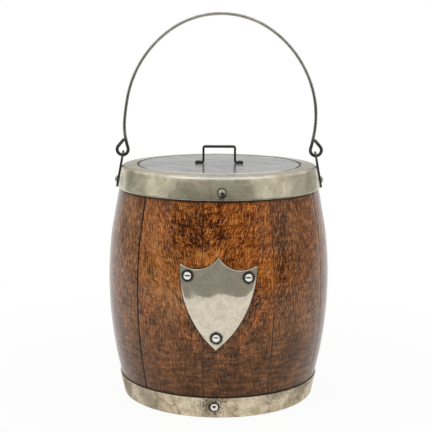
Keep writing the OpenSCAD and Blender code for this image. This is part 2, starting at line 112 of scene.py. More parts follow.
class Slot(Enum):
    """The record's material slots."""

    OAK = "oak"
    GLAZE = "glaze"
    PLATED_SHEET = "plated_sheet"
    LID_SHEET = "lid_sheet"
    PLATED_FASTENERS = "plated_fasteners"
    WIRE = "wire"
    DARK_STRIP = "dark_strip"


class Direction(Enum):
    """Ways in which a dent or a ripple moves a surface."""

    OUTWARDS = "outwards"
    UPWARDS = "upwards"

    def push(self, v: BMVert, distance: float) -> None:
        """Move a vertex this way."""
        way = Vector((0, 0, 1)) if self is Direction.UPWARDS else Vector((*v.co.xy.normalized(), 0))
        v.co += distance * way


# Plane geometry of sections, as (radius, height) or (across, height)


def arc(centre: Point, radius: float, start: float, end: float, steps: int) -> list[Point]:
    """Points along an arc from one angle to another, with both ends."""
    turns = [math.radians(start + (end - start) * k / steps) for k in range(steps + 1)]
    return [(centre[0] + radius * math.cos(a), centre[1] + radius * math.sin(a)) for a in turns]


def bend(before: Vector, corner: Vector, after: Vector, radius: float) -> Line:
    """Round one corner of a sheet's middle line.

    Args:
        before: Point before the corner.
        corner: The corner.
        after: Point after the corner.
        radius: Radius of the middle line in the bend.

    Returns:
        Points of the middle line, each with the normal on its left.
    """
    way_in = (corner - before).normalized()
    way_out = (after - corner).normalized()
    turn = math.atan2(way_in.x * way_out.y - way_in.y * way_out.x, way_in.dot(way_out))
    side = math.copysign(1.0, turn)
    left = Vector((-way_in.y, way_in.x))
    centre = corner - radius * math.tan(abs(turn) / 2) * way_in + side * radius * left
    normals = [Matrix.Rotation(turn * k / BEND_STEPS, 2) @ left for k in range(BEND_STEPS + 1)]
    return [(centre - side * radius * normal, normal) for normal in normals]


def straight_run(start: Vector, end: Vector, normal: Vector) -> Line:
    """Points between the ends of a straight run of a sheet's middle line, each with the normal."""
    count = math.ceil((end - start).length / SHEET_SPACING)
    return [(start.lerp(end, k / count), normal) for k in range(1, count)]


def sheet_section(path: Sequence[Point], radii: Sequence[float], thickness: float) -> list[Point]:
    """Outline of bent sheet in section.

    Args:
        path: Corners of the sheet's middle line.
        radii: Radius of the middle line at each inner corner.
        thickness: Thickness of the sheet.

    Returns:
        The closed outline.
    """
    corners = [Vector(p) for p in path]
    ways = [(end - start).normalized() for start, end in (corners[:2], corners[-2:])]
    first, last = (Vector((-way.y, way.x)) for way in ways)
    line = [(corners[0], first)]
    for i, radius in enumerate(radii, start=1):
        corner = bend(*corners[i - 1:i + 2], radius)
        line += [*straight_run(line[-1][0], corner[0][0], line[-1][1]), *corner]
    line += [*straight_run(line[-1][0], corners[-1], last), (corners[-1], last)]
    one_side = [p + n * thickness / 2 for p, n in line]
    other_side = [p - n * thickness / 2 for p, n in reversed(line)]
    return [(p.x, p.y) for p in one_side + other_side]


# Mesh helpers


def verts_of(geom: Iterable[Any]) -> list[BMVert]:
    """The vertices among what an operator gives back."""
    return [v for v in geom if isinstance(v, BMVert)]


def edges_of(geom: Iterable[Any]) -> list[BMEdge]:
    """The edges among what an operator gives back."""
    return [e for e in geom if isinstance(e, BMEdge)]


def rotation(angle: float, axis: str, size: int = 4) -> Matrix:
    """Rotation by an angle in degrees."""
    return Matrix.Rotation(math.radians(angle), size, axis)


def heading(azimuth: float) -> Vector:
    """Direction outwards from the axis at an azimuth."""
    return Vector((math.sin(math.radians(azimuth)), -math.cos(math.radians(azimuth)), 0))


def moved(bm: BMesh, matrix: Matrix) -> BMesh:
    """The same mesh, moved."""
    bmesh.ops.transform(bm, matrix=matrix, verts=bm.verts)
    return bm


def wire(bm: BMesh, points: Iterable[Point], closed: bool) -> list[BMEdge]:
    """Draw a section in the XZ plane.

    Args:
        bm: Mesh to draw in.
        points: Points of the section.
        closed: Whether the last point joins the first.

    Returns:
        The edges of the section.
    """
    verts = [bm.verts.new((x, 0.0, z)) for x, z in points]
    following = verts[1:] + verts[:1] if closed else verts[1:]
    return [bm.edges.new(pair) for pair in zip(verts, following)]


def tidy(bm: BMesh) -> None:
    """Merge doubles and point all faces outwards."""
    bmesh.ops.remove_doubles(bm, verts=bm.verts, dist=MERGE_DISTANCE)
    bmesh.ops.recalc_face_normals(bm, faces=bm.faces)


def bevel(bm: BMesh, edges: Sequence[BMEdge], width: float, segments: int = 2) -> None:
    """Round some edges of a mesh."""
    options = {"affect": "EDGES", "segments": segments, "profile": 0.5, "material": -1}
    bmesh.ops.bevel(bm, geom=edges, offset=width, clamp_overlap=True, **options)


def soften(bm: BMesh, width: float, angle: float = 40.0) -> None:
    """Round the edges of a mesh at which its faces turn by more than an angle."""
    sharp = [e for e in bm.edges if e.is_manifold and e.calc_face_angle() > math.radians(angle)]
    bevel(bm, sharp, width)


def turned(points: Iterable[Point], closed: bool, steps: int = 192, round_w: float = 0.0) -> BMesh:
    """Turn a section round the Z axis.

    Args:
        points: Section as (radius, height).
        closed: Whether the section is a closed outline, or else runs from axis to axis.
        steps: Number of steps round the axis.
        round_w: Width by which sharp edges are rounded.

    Returns:
        The turned mesh.
    """
    bm = bmesh.new()
    geom = [*wire(bm, points, closed), *bm.verts]
    bmesh.ops.spin(bm, geom=geom, axis=(0, 0, 1), angle=math.tau, steps=steps, use_merge=True)
    tidy(bm)
    if round_w:
        soften(bm, round_w)
    return bm


def drawn_on(bm: BMesh, ring: Sequence[BMEdge], run: Vector, size: float = 1.0) -> list[BMEdge]:
    """Draw a wire or strip straight on from its end.

    Args:
        bm: Mesh of the wire.
        ring: Edges of its end.
        run: Way to the new end.
        size: Size of the new end, as a share of the old one.

    Returns:
        The edges of the new end.
    """
    geom = bmesh.ops.extrude_edge_only(bm, edges=ring)["geom"]
    verts = verts_of(geom)
    middle = sum((v.co for v in verts), Vector()) / len(verts) + run
    bmesh.ops.translate(bm, vec=run, verts=verts)
    shrink = Matrix.Translation(middle) @ Matrix.Scale(size, 4) @ Matrix.Translation(-middle)
    bmesh.ops.transform(bm, matrix=shrink, verts=verts)
    return [e for e in edges_of(geom) if set(e.verts) <= set(verts)]


def bent_on(bm: BMesh, ring: Sequence[BMEdge], centre: Vector, angle: float, steps: int) -> list[BMEdge]:
    """Bend a wire or strip on from its end.

    Args:
        bm: Mesh of the wire.
        ring: Edges of its end.
        centre: Centre of the bend, in the XZ plane.
        angle: Angle of the bend in radians.
        steps: Number of steps round it.

    Returns:
        The edges of the new end.
    """
    geom = [*ring, *dict.fromkeys(v for e in ring for v in e.verts)]
    spun = bmesh.ops.spin(bm, geom=geom, cent=centre, axis=(0, 1, 0), angle=angle, steps=steps)
    return edges_of(spun["geom_last"])


def mirror_half(bm: BMesh, ring: Sequence[BMEdge]) -> None:
    """Close the end of the right half of a wire or strip, and add the left half.

    Args:
        bm: Mesh of the half.
        ring: Edges of its end.
    """
    bmesh.ops.contextual_create(bm, geom=ring)
    bmesh.ops.mirror(bm, geom=[*bm.verts, *bm.edges, *bm.faces], merge_dist=MERGE_DISTANCE, axis="X")
    tidy(bm)


def written(name: str, bm: BMesh) -> bpy.types.Mesh:
    """Write a mesh out.

    Args:
        name: Its name.
        bm: The mesh, which is used up.

    Returns:
        The mesh as data of the file.
    """
    mesh = bpy.data.meshes.new(name)
    bm.to_mesh(mesh)
    bm.free()
    return mesh


def joined(parts: Iterable[BMesh]) -> BMesh:
    """Put several meshes into one.

    Args:
        parts: Meshes, which are used up.

    Returns:
        The mesh that holds them all.
    """
    whole = bmesh.new()
    for part in parts:
        mesh = written("part", part)
        whole.from_mesh(mesh)
        bpy.data.meshes.remove(mesh)
    return whole


def linked(name: str, data: bpy.types.ID) -> bpy.types.Object:
    """Put an object into the scene.

    Args:
        name: Its name.
        data: Its mesh, camera or light.

    Returns:
        The object.
    """
    thing = bpy.data.objects.new(name, data)
    bpy.context.scene.collection.objects.link(thing)
    return thing


def node_box(node: str) -> tuple[Vector, Vector]:
    """Lowest and highest corner of a node of the construction, in millimetres."""
    low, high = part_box(node)
    return Vector(low) / MM, Vector(high) / MM


def on_wall(azimuth: float, radius: float, z: float, tilt: float) -> Matrix:
    """Place of a fastener that points outwards from a wall of the barrel, tilted upwards."""
    return rotation(azimuth, "Z") @ Matrix.Translation((0, -radius, z)) @ rotation(90 - tilt, "X")


@dataclass(frozen=True)
class Ripple:
    """Slow unevenness of a beaten or worn surface."""

    height: float
    length: float
    seed: float
    direction: Direction = Direction.OUTWARDS

    def press(self, bm: BMesh) -> None:
        """Move a mesh's vertices by the ripple."""
        for v in bm.verts:
            self.direction.push(v, self.height * noise.noise(v.co / self.length + Vector((self.seed, 0, 0))))


@dataclass(frozen=True)
class Dent:
    """A shallow dent that a knock has left."""

    place: Place
    radius: float
    depth: float

    def press(self, bm: BMesh) -> None:
        """Push a mesh's vertices in at the dent.

        Args:
            bm: Mesh to push.
        """
        for v in bm.verts:
            share = min(1.0, (v.co - Vector(self.place)).length / self.radius)
            Direction.OUTWARDS.push(v, -self.depth * (1 - share**2) ** 2)


# Finishes


class Graph:
    """Adds shader nodes to one tree and links them."""

    def __init__(self, tree: bpy.types.NodeTree) -> None:
        """Start with an empty tree."""
        self.tree = tree
        tree.nodes.clear()

    def add(self, kind: str, inputs: dict[str | int, Any] | None = None, **settings: Any) -> bpy.types.Node:
        """Add one node.

        Args:
            kind: Type of the node, without its Shader prefix.
            inputs: Values, or outputs of other nodes, by input name or index.
            settings: Properties of the node.

        Returns:
            The node.
        """
        node = self.tree.nodes.new(f"Shader{kind}")
        for key, value in settings.items():
            setattr(node, key, value)
        for key, value in (inputs or {}).items():
            socket = node.inputs[key]
            if isinstance(value, Socket):
                self.tree.links.new(value, socket)
            elif socket.type == "RGBA":
                socket.default_value = (*value, 1.0)
            else:
                socket.default_value = value
        return node

    @cached_property
    def place(self) -> Socket:
        """Object coordinates in millimetres."""
        return self.stretched(self.add("NodeTexCoord").outputs["Object"], (MM, MM, MM))

    def stretched(self, vector: Socket, size: Sequence[float]) -> Socket:
        """Divide a vector by the sizes of a pattern along its axes."""
        scale = tuple(1.0 / s for s in size)
        return self.add("NodeMapping", {"Vector": vector, "Scale": scale}).outputs[0]

    def rotated(self, turn: Place) -> Socket:
        """Object coordinates, rotated by three angles in radians."""
        return self.add("NodeMapping", {"Vector": self.place, "Rotation": turn}).outputs[0]

    def own_frame(self, **frame: Any) -> Socket:
        """Object coordinates in the frame of a pattern with its own location, rotation or scale."""
        return self.add("NodeMapping", {"Vector": self.place, **frame}, vector_type="TEXTURE").outputs[0]

    def axes(self, vector: Socket) -> list[Socket]:
        """The three numbers of a vector."""
        return self.add("NodeSeparateXYZ", {0: vector}).outputs[:]

    def vector(self, *numbers: Socket) -> Socket:
        """A vector of one or two numbers, and zeros."""
        return self.add("NodeCombineXYZ", dict(enumerate(numbers))).outputs[0]

    def measure(self, operation: str, *vectors: Any) -> Socket:
        """Measure one number of one or two vectors."""
        return self.add("NodeVectorMath", dict(enumerate(vectors)), operation=operation).outputs["Value"]

    def clouds(
        self, vector: Socket, size: Sequence[float], detail: float = 3.0, roughness: float = 0.5,
        swirl: float = 0.0,
    ) -> Socket:
        """Noise of about 0 to 1, of a size along each axis, with octaves of finer noise."""
        inputs = {"Scale": 1.0, "Detail": detail, "Roughness": roughness, "Distortion": swirl}
        return self.add("NodeTexNoise", {"Vector": self.stretched(vector, size), **inputs}).outputs[0]

    def cells(self, vector: Socket, size: Sequence[float], **settings: Any) -> Socket:
        """Distances in a pattern of cells, of a size along each axis."""
        inputs = {"Vector": self.stretched(vector, size), "Scale": 1.0}
        return self.add("NodeTexVoronoi", inputs, **settings).outputs["Distance"]

    def span(
        self, value: Socket, low: float, high: float, to_low: float = 0.0, to_high: float = 1.0
    ) -> Socket:
        """Map a range of values smoothly to another, with both ends held."""
        inputs = {0: value, 1: low, 2: high, 3: to_low, 4: to_high}
        return self.add("NodeMapRange", inputs, interpolation_type="SMOOTHSTEP").outputs[0]

    def math(self, operation: str, *values: Any, clamp: bool = False) -> Socket:
        """Work out one number from one, two or three."""
        return self.add("NodeMath", dict(enumerate(values)), operation=operation, use_clamp=clamp).outputs[0]

    def plus(self, a: Any, b: Any, clamp: bool = False) -> Socket:
        """Sum of two numbers."""
        return self.math("ADD", a, b, clamp=clamp)

    def minus(self, a: Any, b: Any) -> Socket:
        """Difference of two numbers."""
        return self.math("SUBTRACT", a, b)

    def times(self, *values: Any) -> Socket:
        """Product of some numbers."""
        return reduce(lambda one, other: self.math("MULTIPLY", one, other), values)

    def most(self, *values: Any) -> Socket:
        """Greatest of some numbers."""
        return reduce(lambda one, other: self.math("MAXIMUM", one, other), values)

    def layered(self, base: Socket, layers: Iterable[tuple[Socket, float]], clamp: bool = False) -> Socket:
        """Add layers to a number, each with its weight."""
        return reduce(lambda under, layer: self.plus(under, self.times(*layer), clamp), layers, base)

    def blend(self, share: Any, a: Any, b: Any) -> Socket:
        """Mix two colours by the share of the second."""
        return self.add("NodeMix", {0: share, 6: a, 7: b}, data_type="RGBA").outputs[2]

    def coated(self, base: Any, coats: Iterable[tuple[Socket, Any]]) -> Socket:
        """Lay coats over a colour, each as a share and a colour."""
        return reduce(lambda under, coat: self.blend(coat[0], under, coat[1]), coats, base)

    def ramp(self, value: Socket, stops: Sequence[tuple[float, Colour]]) -> Socket:
        """Colour by a value.

        Args:
            value: Value from 0 to 1.
            stops: Places and colours of the ramp.

        Returns:
            The colour.
        """
        node = self.add("NodeValToRGB", {0: value})
        elements = node.color_ramp.elements
        while len(elements) < len(stops):
            elements.new(1.0)
        for element, (place, colour) in zip(elements, stops):
            element.position = place
            element.color = (*colour, 1.0)
        return node.outputs[0]

    def bump(self, height: Socket, depth: float, strength: float = 1.0) -> Socket:
        """Normal of a surface with a relief of this depth."""
        inputs = {"Height": height, "Distance": depth * MM, "Strength": strength}
        return self.add("NodeBump", inputs).outputs[0]

    def surface(self, inputs: dict[str, Any]) -> None:
        """End the tree in one principled surface."""
        shader = self.add("NodeBsdfPrincipled", inputs)
        self.add("NodeOutputMaterial", {"Surface": shader.outputs[0]})


@dataclass(frozen=True)
class Finish(ABC):
    """A procedural finish; its material is made once."""

    name: str
    made: ClassVar[dict[str, bpy.types.Material]] = {}

    def material(self) -> bpy.types.Material:
        """Make the finish, or find it again.

        Returns:
            The finish as a material.
        """
        if self.name not in Finish.made:
            material = bpy.data.materials.new(self.name)
            material.use_nodes = True
            self.paint(Graph(material.node_tree))
            Finish.made[self.name] = material
        return Finish.made[self.name]

    @abstractmethod
    def paint(self, graph: Graph) -> None:
        """Draw the finish in a material's node tree."""


@dataclass(frozen=True)
class Patch:
    """A soft patch of the wood's figure that is lighter or darker, or warmer, than the rest."""

    DEPTH: ClassVar[float] = 40.0
    centre: Place
    half_w: float
    half_h: float
    light: float
    warm: float = 0.0

    def mask(self, graph: Graph, ragged: Socket) -> Socket:
        """Draw the patch: 1 in its middle, and 0 outside its ragged edge."""
        near = graph.own_frame(Location=self.centre, Scale=(self.half_w, self.DEPTH, self.half_h))
        return graph.span(graph.plus(graph.measure("LENGTH", near), ragged), 0.35, 1.0, 1.0, 0.0)


@dataclass(frozen=True)
class VarnishedOak(Finish):
    """Oak with ray flecks and open pores under a glossy varnish, along the piece's own grain map."""

    GRAIN_MAP: ClassVar[str] = "grain"
    WARMTH: ClassVar[str] = "warmth"
    tones: tuple[float, float, float] = (0.05, 0.42, 0.95)
    brown: tuple[Colour, ...] = ((0.016, 0.005, 0.002), (0.115, 0.0435, 0.0115), (0.41, 0.21, 0.102))
    orange: tuple[Colour, ...] = ((0.024, 0.005, 0.001), (0.205, 0.046, 0.004), (0.70, 0.245, 0.045))
    scratch: Colour = (0.60, 0.29, 0.11)
    # The dirt colour also serves for painted shade along the metal bands and round the plate.
    dirt: Colour = (0.010, 0.006, 0.004)
    dirt_and_shade_share: float = 0.95
    warm_heights: Point = (40.0, 125.0)
    bare_share: float = 0.38
    patches: tuple[Patch, ...] = ()
    # Heights of the band edges, with the reach of painted shade and dirt along them.
    dirt_and_shade_lines: tuple[tuple[float, float], ...] = ()
    plate: Shield | None = None
    open_joint: float = 0.0
    joints: int = 10

    def paint(self, graph: Graph) -> None:
        """Draw the finish in a material's node tree.

        Args:
            graph: Tree to draw in.
        """
        grain = graph.add("NodeUVMap", uv_map=self.GRAIN_MAP).outputs[0]
        height = graph.axes(grain)[1]
        warmth = graph.add("NodeAttribute", attribute_name=self.WARMTH).outputs["Fac"]
        figure = graph.clouds(grain, (13, 20, 1), detail=2, swirl=0.8)
        sideways = graph.span(graph.clouds(grain, (12, 22, 1), detail=1), *CLOUD_RANGE, -1.2, 1.2)
        curly = graph.add("NodeVectorMath", {0: grain, 1: graph.vector(sideways)}).outputs[0]
        strokes = graph.clouds(curly, (0.6, 7.5, 1), detail=1.5, roughness=0.55)
        glints = graph.clouds(curly, (0.85, 4.6, 1), detail=1)
        flicker = graph.clouds(grain, (6.5, 3.0, 1), detail=2, swirl=1.0)
        flecks = graph.clouds(grain, (12, 3.0, 1), detail=2)
        cracks = graph.cells(curly, (2.3, 3.6, 1), feature="DISTANCE_TO_EDGE", voronoi_dimensions="2D")
        hairs = graph.clouds(grain, (0.5, 34, 1), detail=2)
        grit = graph.clouds(grain, (0.75, 0.8, 1), detail=1)
        lively = graph.span(height, 25.0, 100.0, 0.36, 1.0)
        flamed = graph.times(graph.span(warmth, 0.4, 0.9, 0.4, 1.0), graph.span(height, 20, 110, 0.5, 1.0))
        flames = graph.times(graph.span(flicker, 0.35, 0.65, -0.5, 0.5), flamed)
        bars = graph.times(graph.span(flecks, 0.38, 0.62, -0.5, 0.5), graph.span(height, 30, 90, 1.0, 0.3))
        fine_layers = (
            (graph.span(strokes, 0.48, 0.66), 0.50),
            (graph.span(grit, *CLOUD_RANGE, -0.5, 0.5), 0.22),
            (graph.span(cracks, 0.0, 0.10, 1.0, 0.0), -0.38),
        )
        layers = [(flames, 0.22), (bars, 0.20), (graph.span(hairs, 0.52, 0.70), -0.12)]
        layers += [(graph.times(layer, lively), weight) for layer, weight in fine_layers]
        tone = graph.layered(graph.math("MULTIPLY_ADD", figure, 0.56, 0.115), layers)
        wandering = graph.plus(height, graph.span(figure, 0.25, 0.75, -30.0, 30.0))
        warm = graph.times(graph.span(wandering, *self.warm_heights), warmth)
        warm = graph.plus(warm, graph.times(flames, 0.5), clamp=True)
        ragged = graph.span(flicker, *CLOUD_RANGE, -0.35, 0.35)
        masks = [(patch.mask(graph, ragged), patch) for patch in self.patches]
        bare = graph.layered(glints, [(mask, self.bare_share * max(0.0, p.light)) for mask, p in masks])
        tone = graph.layered(tone, [(mask, patch.light) for mask, patch in masks])
        warm = graph.layered(warm, [(mask, patch.warm) for mask, patch in masks], clamp=True)
        brown, orange = (graph.ramp(tone, list(zip(self.tones, c))) for c in (self.brown, self.orange))
        scratched = graph.times(graph.span(bare, 0.60, 0.70, 0.0, 0.62), lively)
        coats = [(scratched, self.scratch), (self.dirt_and_painted_darkening(graph, height, grit), self.dirt)]
        relief = graph.plus(graph.times(hairs, -0.6), graph.times(strokes, 0.5))
        graph.surface({
            "Base Color": graph.coated(graph.blend(warm, brown, orange), coats),
            "Roughness": graph.span(grit, 0.2, 0.8, 0.42, 0.58),
            "Specular IOR Level": 0.05,
            "Normal": graph.bump(relief, 0.10, 0.45),
            "Sheen Weight": 0.16,
            "Sheen Roughness": 0.4,
            "Sheen Tint": (1.0, 0.95, 0.92),
            "Coat Weight": 0.9,
            "Coat Roughness": 0.12,
            "Coat IOR": 1.3,
        })

    def dirt_and_painted_darkening(self, graph: Graph, height: Socket, ragged: Socket) -> Socket:
        """Share of darkening: painted shade and dirt along the edges of the metal bands, painted contact
        shade and old polish round the plate, and dirt in the joints.

        Args:
            graph: Tree to draw in.
            height: Height above the floor.
            ragged: Noise that breaks up the edge of the dirt.

        Returns:
            The share of dirt and painted shade.
        """
        uneven = graph.span(ragged, *CLOUD_RANGE, -0.35, 0.35)
        # Painted shade and dirt along the edges of the collar and the hoop.
        edges = [
            (graph.math("ABSOLUTE", graph.minus(height, edge)), 0.25 * reach, reach)
            for edge, reach in self.dirt_and_shade_lines
        ]
        # Painted contact shade and old polish round the plate's outline.
        if self.plate:
            edges.append((self.plate.distance(graph), 0.0, 0.9))
        edges.append((self.open_joint_distance(graph), 0.45, 1.1))
        shares = [
            graph.span(graph.plus(away, uneven), near, far, self.dirt_and_shade_share, 0.0) for away, near, far in edges
        ]
        return graph.most(*shares, self.joint_lines(graph, height, uneven))

    def joint_lines(self, graph: Graph, height: Socket, uneven: Socket) -> Socket:
        """Share of dirt in the closed joints between the staves, most near the foot.

        Args:
            graph: Tree to draw in.
            height: Height above the floor.
            uneven: Distance by which the edge of the dirt wanders.

        Returns:
            The share of dirt.
        """
        x, y, _ = graph.axes(graph.place)
        azimuth = graph.math("ARCTAN2", x, graph.times(y, -1.0))
        past = graph.minus(azimuth, math.radians(self.open_joint))
        away = graph.times(graph.math("PINGPONG", past, math.pi / self.joints), FORM.bilge_d / 2)
        line = graph.span(graph.plus(away, uneven), 0.1, 0.75, 1.0, 0.0)
        return graph.times(line, graph.span(height, 30.0, 90.0, 0.55, 0.45))

    def open_joint_distance(self, graph: Graph) -> Socket:
        """Distance from the open joint; large on the other side of the barrel.

        Args:
            graph: Tree to draw in.

        Returns:
            The distance in millimetres.
        """
        out = heading(self.open_joint)
        across = Vector((-out.y, out.x, 0))
        aside, ahead = (graph.measure("DOT_PRODUCT", graph.place, way) for way in (across, out))
        return graph.plus(graph.math("ABSOLUTE", aside), graph.span(ahead, 0.0, 30.0, FAR, 0.0))


@dataclass(frozen=True)
class PlainOak(Finish):
    """Bare oak, planed and darkened with age."""

    stops: tuple[tuple[float, Colour], ...] = (
        (0.3, (0.13, 0.065, 0.028)), (0.55, (0.27, 0.15, 0.068)), (0.75, (0.38, 0.23, 0.11)),
    )

    def paint(self, graph: Graph) -> None:
        """Draw the finish in a material's node tree.

        Args:
            graph: Tree to draw in.
        """
        figure = graph.clouds(graph.place, (9, 70, 20), detail=4, roughness=0.6)
        streaks = graph.clouds(graph.place, (0.8, 40, 8))
        tone = graph.plus(graph.times(figure, 0.6), graph.times(streaks, 0.4))
        graph.surface({
            "Base Color": graph.ramp(tone, self.stops),
            "Roughness": graph.span(streaks, 0.2, 0.8, 0.55, 0.75),
            "Normal": graph.bump(streaks, 0.1, 0.5),
        })


@dataclass(frozen=True)
class Halo:
    """Dark dirt that has gathered round a place; on the hoop pins' domes, a painted dark reflection."""

    place: Place
    inner: float
    outer: float
    share: float = 0.97
    speckle: float = 0.4

    def mask(self, graph: Graph, specks: Socket) -> Socket:
        """Share of darkening, with an edge that specks break up.

        Args:
            graph: Tree to draw in.
            specks: Noise of the specks.

        Returns:
            The share of dirt.
        """
        ragged = graph.span(specks, *CLOUD_RANGE, -self.speckle, self.speckle)
        away = graph.plus(graph.measure("DISTANCE", graph.place, self.place), ragged)
        return graph.span(away, self.inner, self.outer, self.share, 0.0)


def dirt_and_reflection_round(places: Iterable[Matrix], offset: Place, **sizes: float) -> tuple[Halo, ...]:
    """Dirt round each of some fasteners, at an offset from the middle of its underside; also painted dark
    reflections on pin domes.
    """
    return tuple(Halo(tuple(m @ Vector(offset)), **sizes) for m in places)


def dirt_at(stains: Stains, **sizes: float) -> tuple[Halo, ...]:
    """Dirt at some stained places, each with its reach."""
    return tuple(Halo(place, outer=reach, **sizes) for place, reach in stains)


@dataclass(frozen=True)
class GapShade:
    """Painted shade between two distances from the axis, in the gap round a lid; it spreads at the back."""

    inner: float
    outer: float
    below: float
    spread: float = 1.2
    soft: float = 0.3
    front_share: float = 1.0

    def mask(self, graph: Graph) -> Socket:
        """Share of painted shade.

        Args:
            graph: Tree to draw in.

        Returns:
            The share of painted shade.
        """
        x, y, z = graph.axes(graph.place)
        away = graph.measure("LENGTH", graph.vector(x, y))
        back = graph.span(y, -10.0, 10.0)
        spread = graph.times(back, self.spread)
        return graph.times(
            graph.span(graph.plus(away, spread), self.inner - self.soft, self.inner),
            graph.span(graph.minus(away, spread), self.outer, self.outer + self.soft, 1.0, 0.0),
            graph.span(graph.minus(z, spread), self.below - self.soft, self.below, 1.0, 0.0),
            graph.span(back, 0.0, 1.0, self.front_share, 1.0),
        )


@dataclass(frozen=True)
class PaintedHighlight:
    """A stretch of a corner painted bright, as a highlight."""

    centre: Place
    half_h: float
    inner: float
    outer: float
    share: float

    def mask(self, graph: Graph) -> Socket:
        """Share of the painted highlight.

        Args:
            graph: Tree to draw in.

        Returns:
            The share of the painted highlight.
        """
        aside = graph.math("ABSOLUTE", graph.minus(graph.axes(graph.place)[2], self.centre[2]))
        along = graph.measure("DISTANCE", graph.place, self.centre)
        return graph.times(
            graph.span(aside, 0.4 * self.half_h, self.half_h, 1.0, 0.0),
            graph.span(along, self.inner, self.outer, self.share, 0.0),
        )


@dataclass(frozen=True)
class WornPlate(Finish):
    """Silver plate with fine rubbing marks, thin places and brown stains."""

    colour: Colour = (0.70, 0.65, 0.52)
    thin: Colour = (0.50, 0.45, 0.33)
    thin_share: float = 0.6
    stain: Colour = (0.16, 0.12, 0.07)
    stain_share: float = 0.35
    stain_size: float = 14.0
    speck_size: float = 1.1
    pit_gap: float = 5.0
    pit_share: float = 0.0
    # The scratch colour also paints a highlight along a corner.
    scratch: Colour = (0.95, 0.93, 0.86)
    scratch_share: float = 0.0
    scratch_size: Place = (28.0, 60.0, 0.28)
    scratch_turn: Place = (0.0, 0.75, 0.0)
    # The dirt colour also paints shade in a lid's gap and dark reflections on pins.
    dirt: Colour = (0.012, 0.011, 0.010)
    roughness: Point = (0.2, 0.36)
    rub_size: Place = (45.0, 45.0, 0.7)
    rub_turn: Place = (0.0, 0.0, 0.0)
    rub_share: float = 0.08
    wear_size: Place = (15.0, 15.0, 15.0)
    wear_swirl: float = 0.9
    relief: float = 0.05
    metallic: float = 0.65
    halos: tuple[Halo, ...] = ()
    painted_highlight: PaintedHighlight | None = None
    rim: GapShade | None = None

    def paint(self, graph: Graph) -> None:
        """Draw the finish in a material's node tree.

        Args:
            graph: Tree to draw in.
        """
        patches = graph.clouds(graph.place, (self.stain_size,) * 3, detail=5, roughness=0.62, swirl=0.5)
        rubbed_way = graph.rotated(self.rub_turn)
        rubbing = graph.clouds(rubbed_way, self.rub_size, roughness=0.6)
        worn = graph.clouds(rubbed_way, self.wear_size, roughness=0.6, swirl=self.wear_swirl)
        specks = graph.clouds(graph.place, (self.speck_size,) * 3, roughness=0.6)
        speckled = graph.span(specks, 0.54, 0.68, 0.0, 0.7 * self.stain_share)
        stained = graph.plus(graph.span(patches, 0.52, 0.78, 0.0, self.stain_share), speckled)
        scratches = graph.clouds(graph.rotated(self.scratch_turn), self.scratch_size, detail=1)
        pits = graph.cells(graph.place, (self.pit_gap,) * 3)
        # Halos: dirt, and on the hoop pins painted dark reflections.
        dirt_and_painted_darkening = [halo.mask(graph, specks) for halo in self.halos]
        coats = [
            (graph.span(worn, 0.40, 0.60, 0.0, self.thin_share), self.thin),
            (graph.span(rubbing, *CLOUD_RANGE, 0.0, self.rub_share), self.stain),
            (stained, self.stain),
            (graph.span(scratches, 0.64, 0.72, 0.0, self.scratch_share), self.scratch),
        ]
        # Painted highlight along a corner, in the scratch colour.
        if self.painted_highlight:
            coats.append((self.painted_highlight.mask(graph), self.scratch))
        coats.append((graph.span(pits, 0.03, 0.09, self.pit_share, 0.0), self.dirt))
        coats += [(share, self.dirt) for share in dirt_and_painted_darkening]
        # Painted shade in the gap round a lid, in the dirt colour.
        if self.rim:
            coats.append((self.rim.mask(graph), self.dirt))
        dull = [(stained, 0.25), *((share, 0.4) for share in dirt_and_painted_darkening)]
        height = graph.plus(graph.times(patches, 0.8), graph.times(specks, 0.2))
        graph.surface({
            "Base Color": graph.coated(self.colour, coats),
            "Metallic": self.metallic,
            "Roughness": graph.layered(graph.span(rubbing, *CLOUD_RANGE, *self.roughness), dull, clamp=True),
            "Normal": graph.bump(height, self.relief),
        })


@dataclass(frozen=True)
class BlackLacquer(Finish):
    """Black lacquer on iron, dulled by handling."""

    stops: tuple[tuple[float, Colour], ...] = ((0.35, (0.006, 0.0055, 0.005)), (0.7, (0.022, 0.020, 0.017)))

    def paint(self, graph: Graph) -> None:
        """Draw the finish in a material's node tree.

        Args:
            graph: Tree to draw in.
        """
        cloud = graph.clouds(graph.place, (3.0, 3.0, 3.0), detail=4, roughness=0.6)
        specks = graph.clouds(graph.place, (0.8, 0.8, 0.8), detail=2)
        graph.surface({
            "Base Color": graph.ramp(cloud, self.stops),
            "Roughness": graph.span(cloud, *CLOUD_RANGE, 0.22, 0.38),
            "Normal": graph.bump(specks, 0.04),
        })


@dataclass(frozen=True)
class WhiteGlaze(Finish):
    """White glaze over ceramic, with a faint crackle."""

    stops: tuple[tuple[float, Colour], ...] = ((0.3, (0.72, 0.69, 0.60)), (0.7, (0.80, 0.78, 0.72)))
    crackle: Colour = (0.45, 0.38, 0.28)

    def paint(self, graph: Graph) -> None:
        """Draw the finish in a material's node tree.

        Args:
            graph: Tree to draw in.
        """
        cloud = graph.clouds(graph.place, (30, 30, 30))
        cells = graph.cells(graph.place, (7, 7, 7), feature="DISTANCE_TO_EDGE")
        lines = graph.span(cells, 0.0, 0.02, 0.18, 0.0)
        graph.surface({
            "Base Color": graph.blend(lines, graph.ramp(cloud, self.stops), self.crackle),
            "Roughness": graph.span(cloud, *CLOUD_RANGE, 0.10, 0.18),
            "Coat Weight": 0.6,
            "Coat Roughness": 0.05,
        })


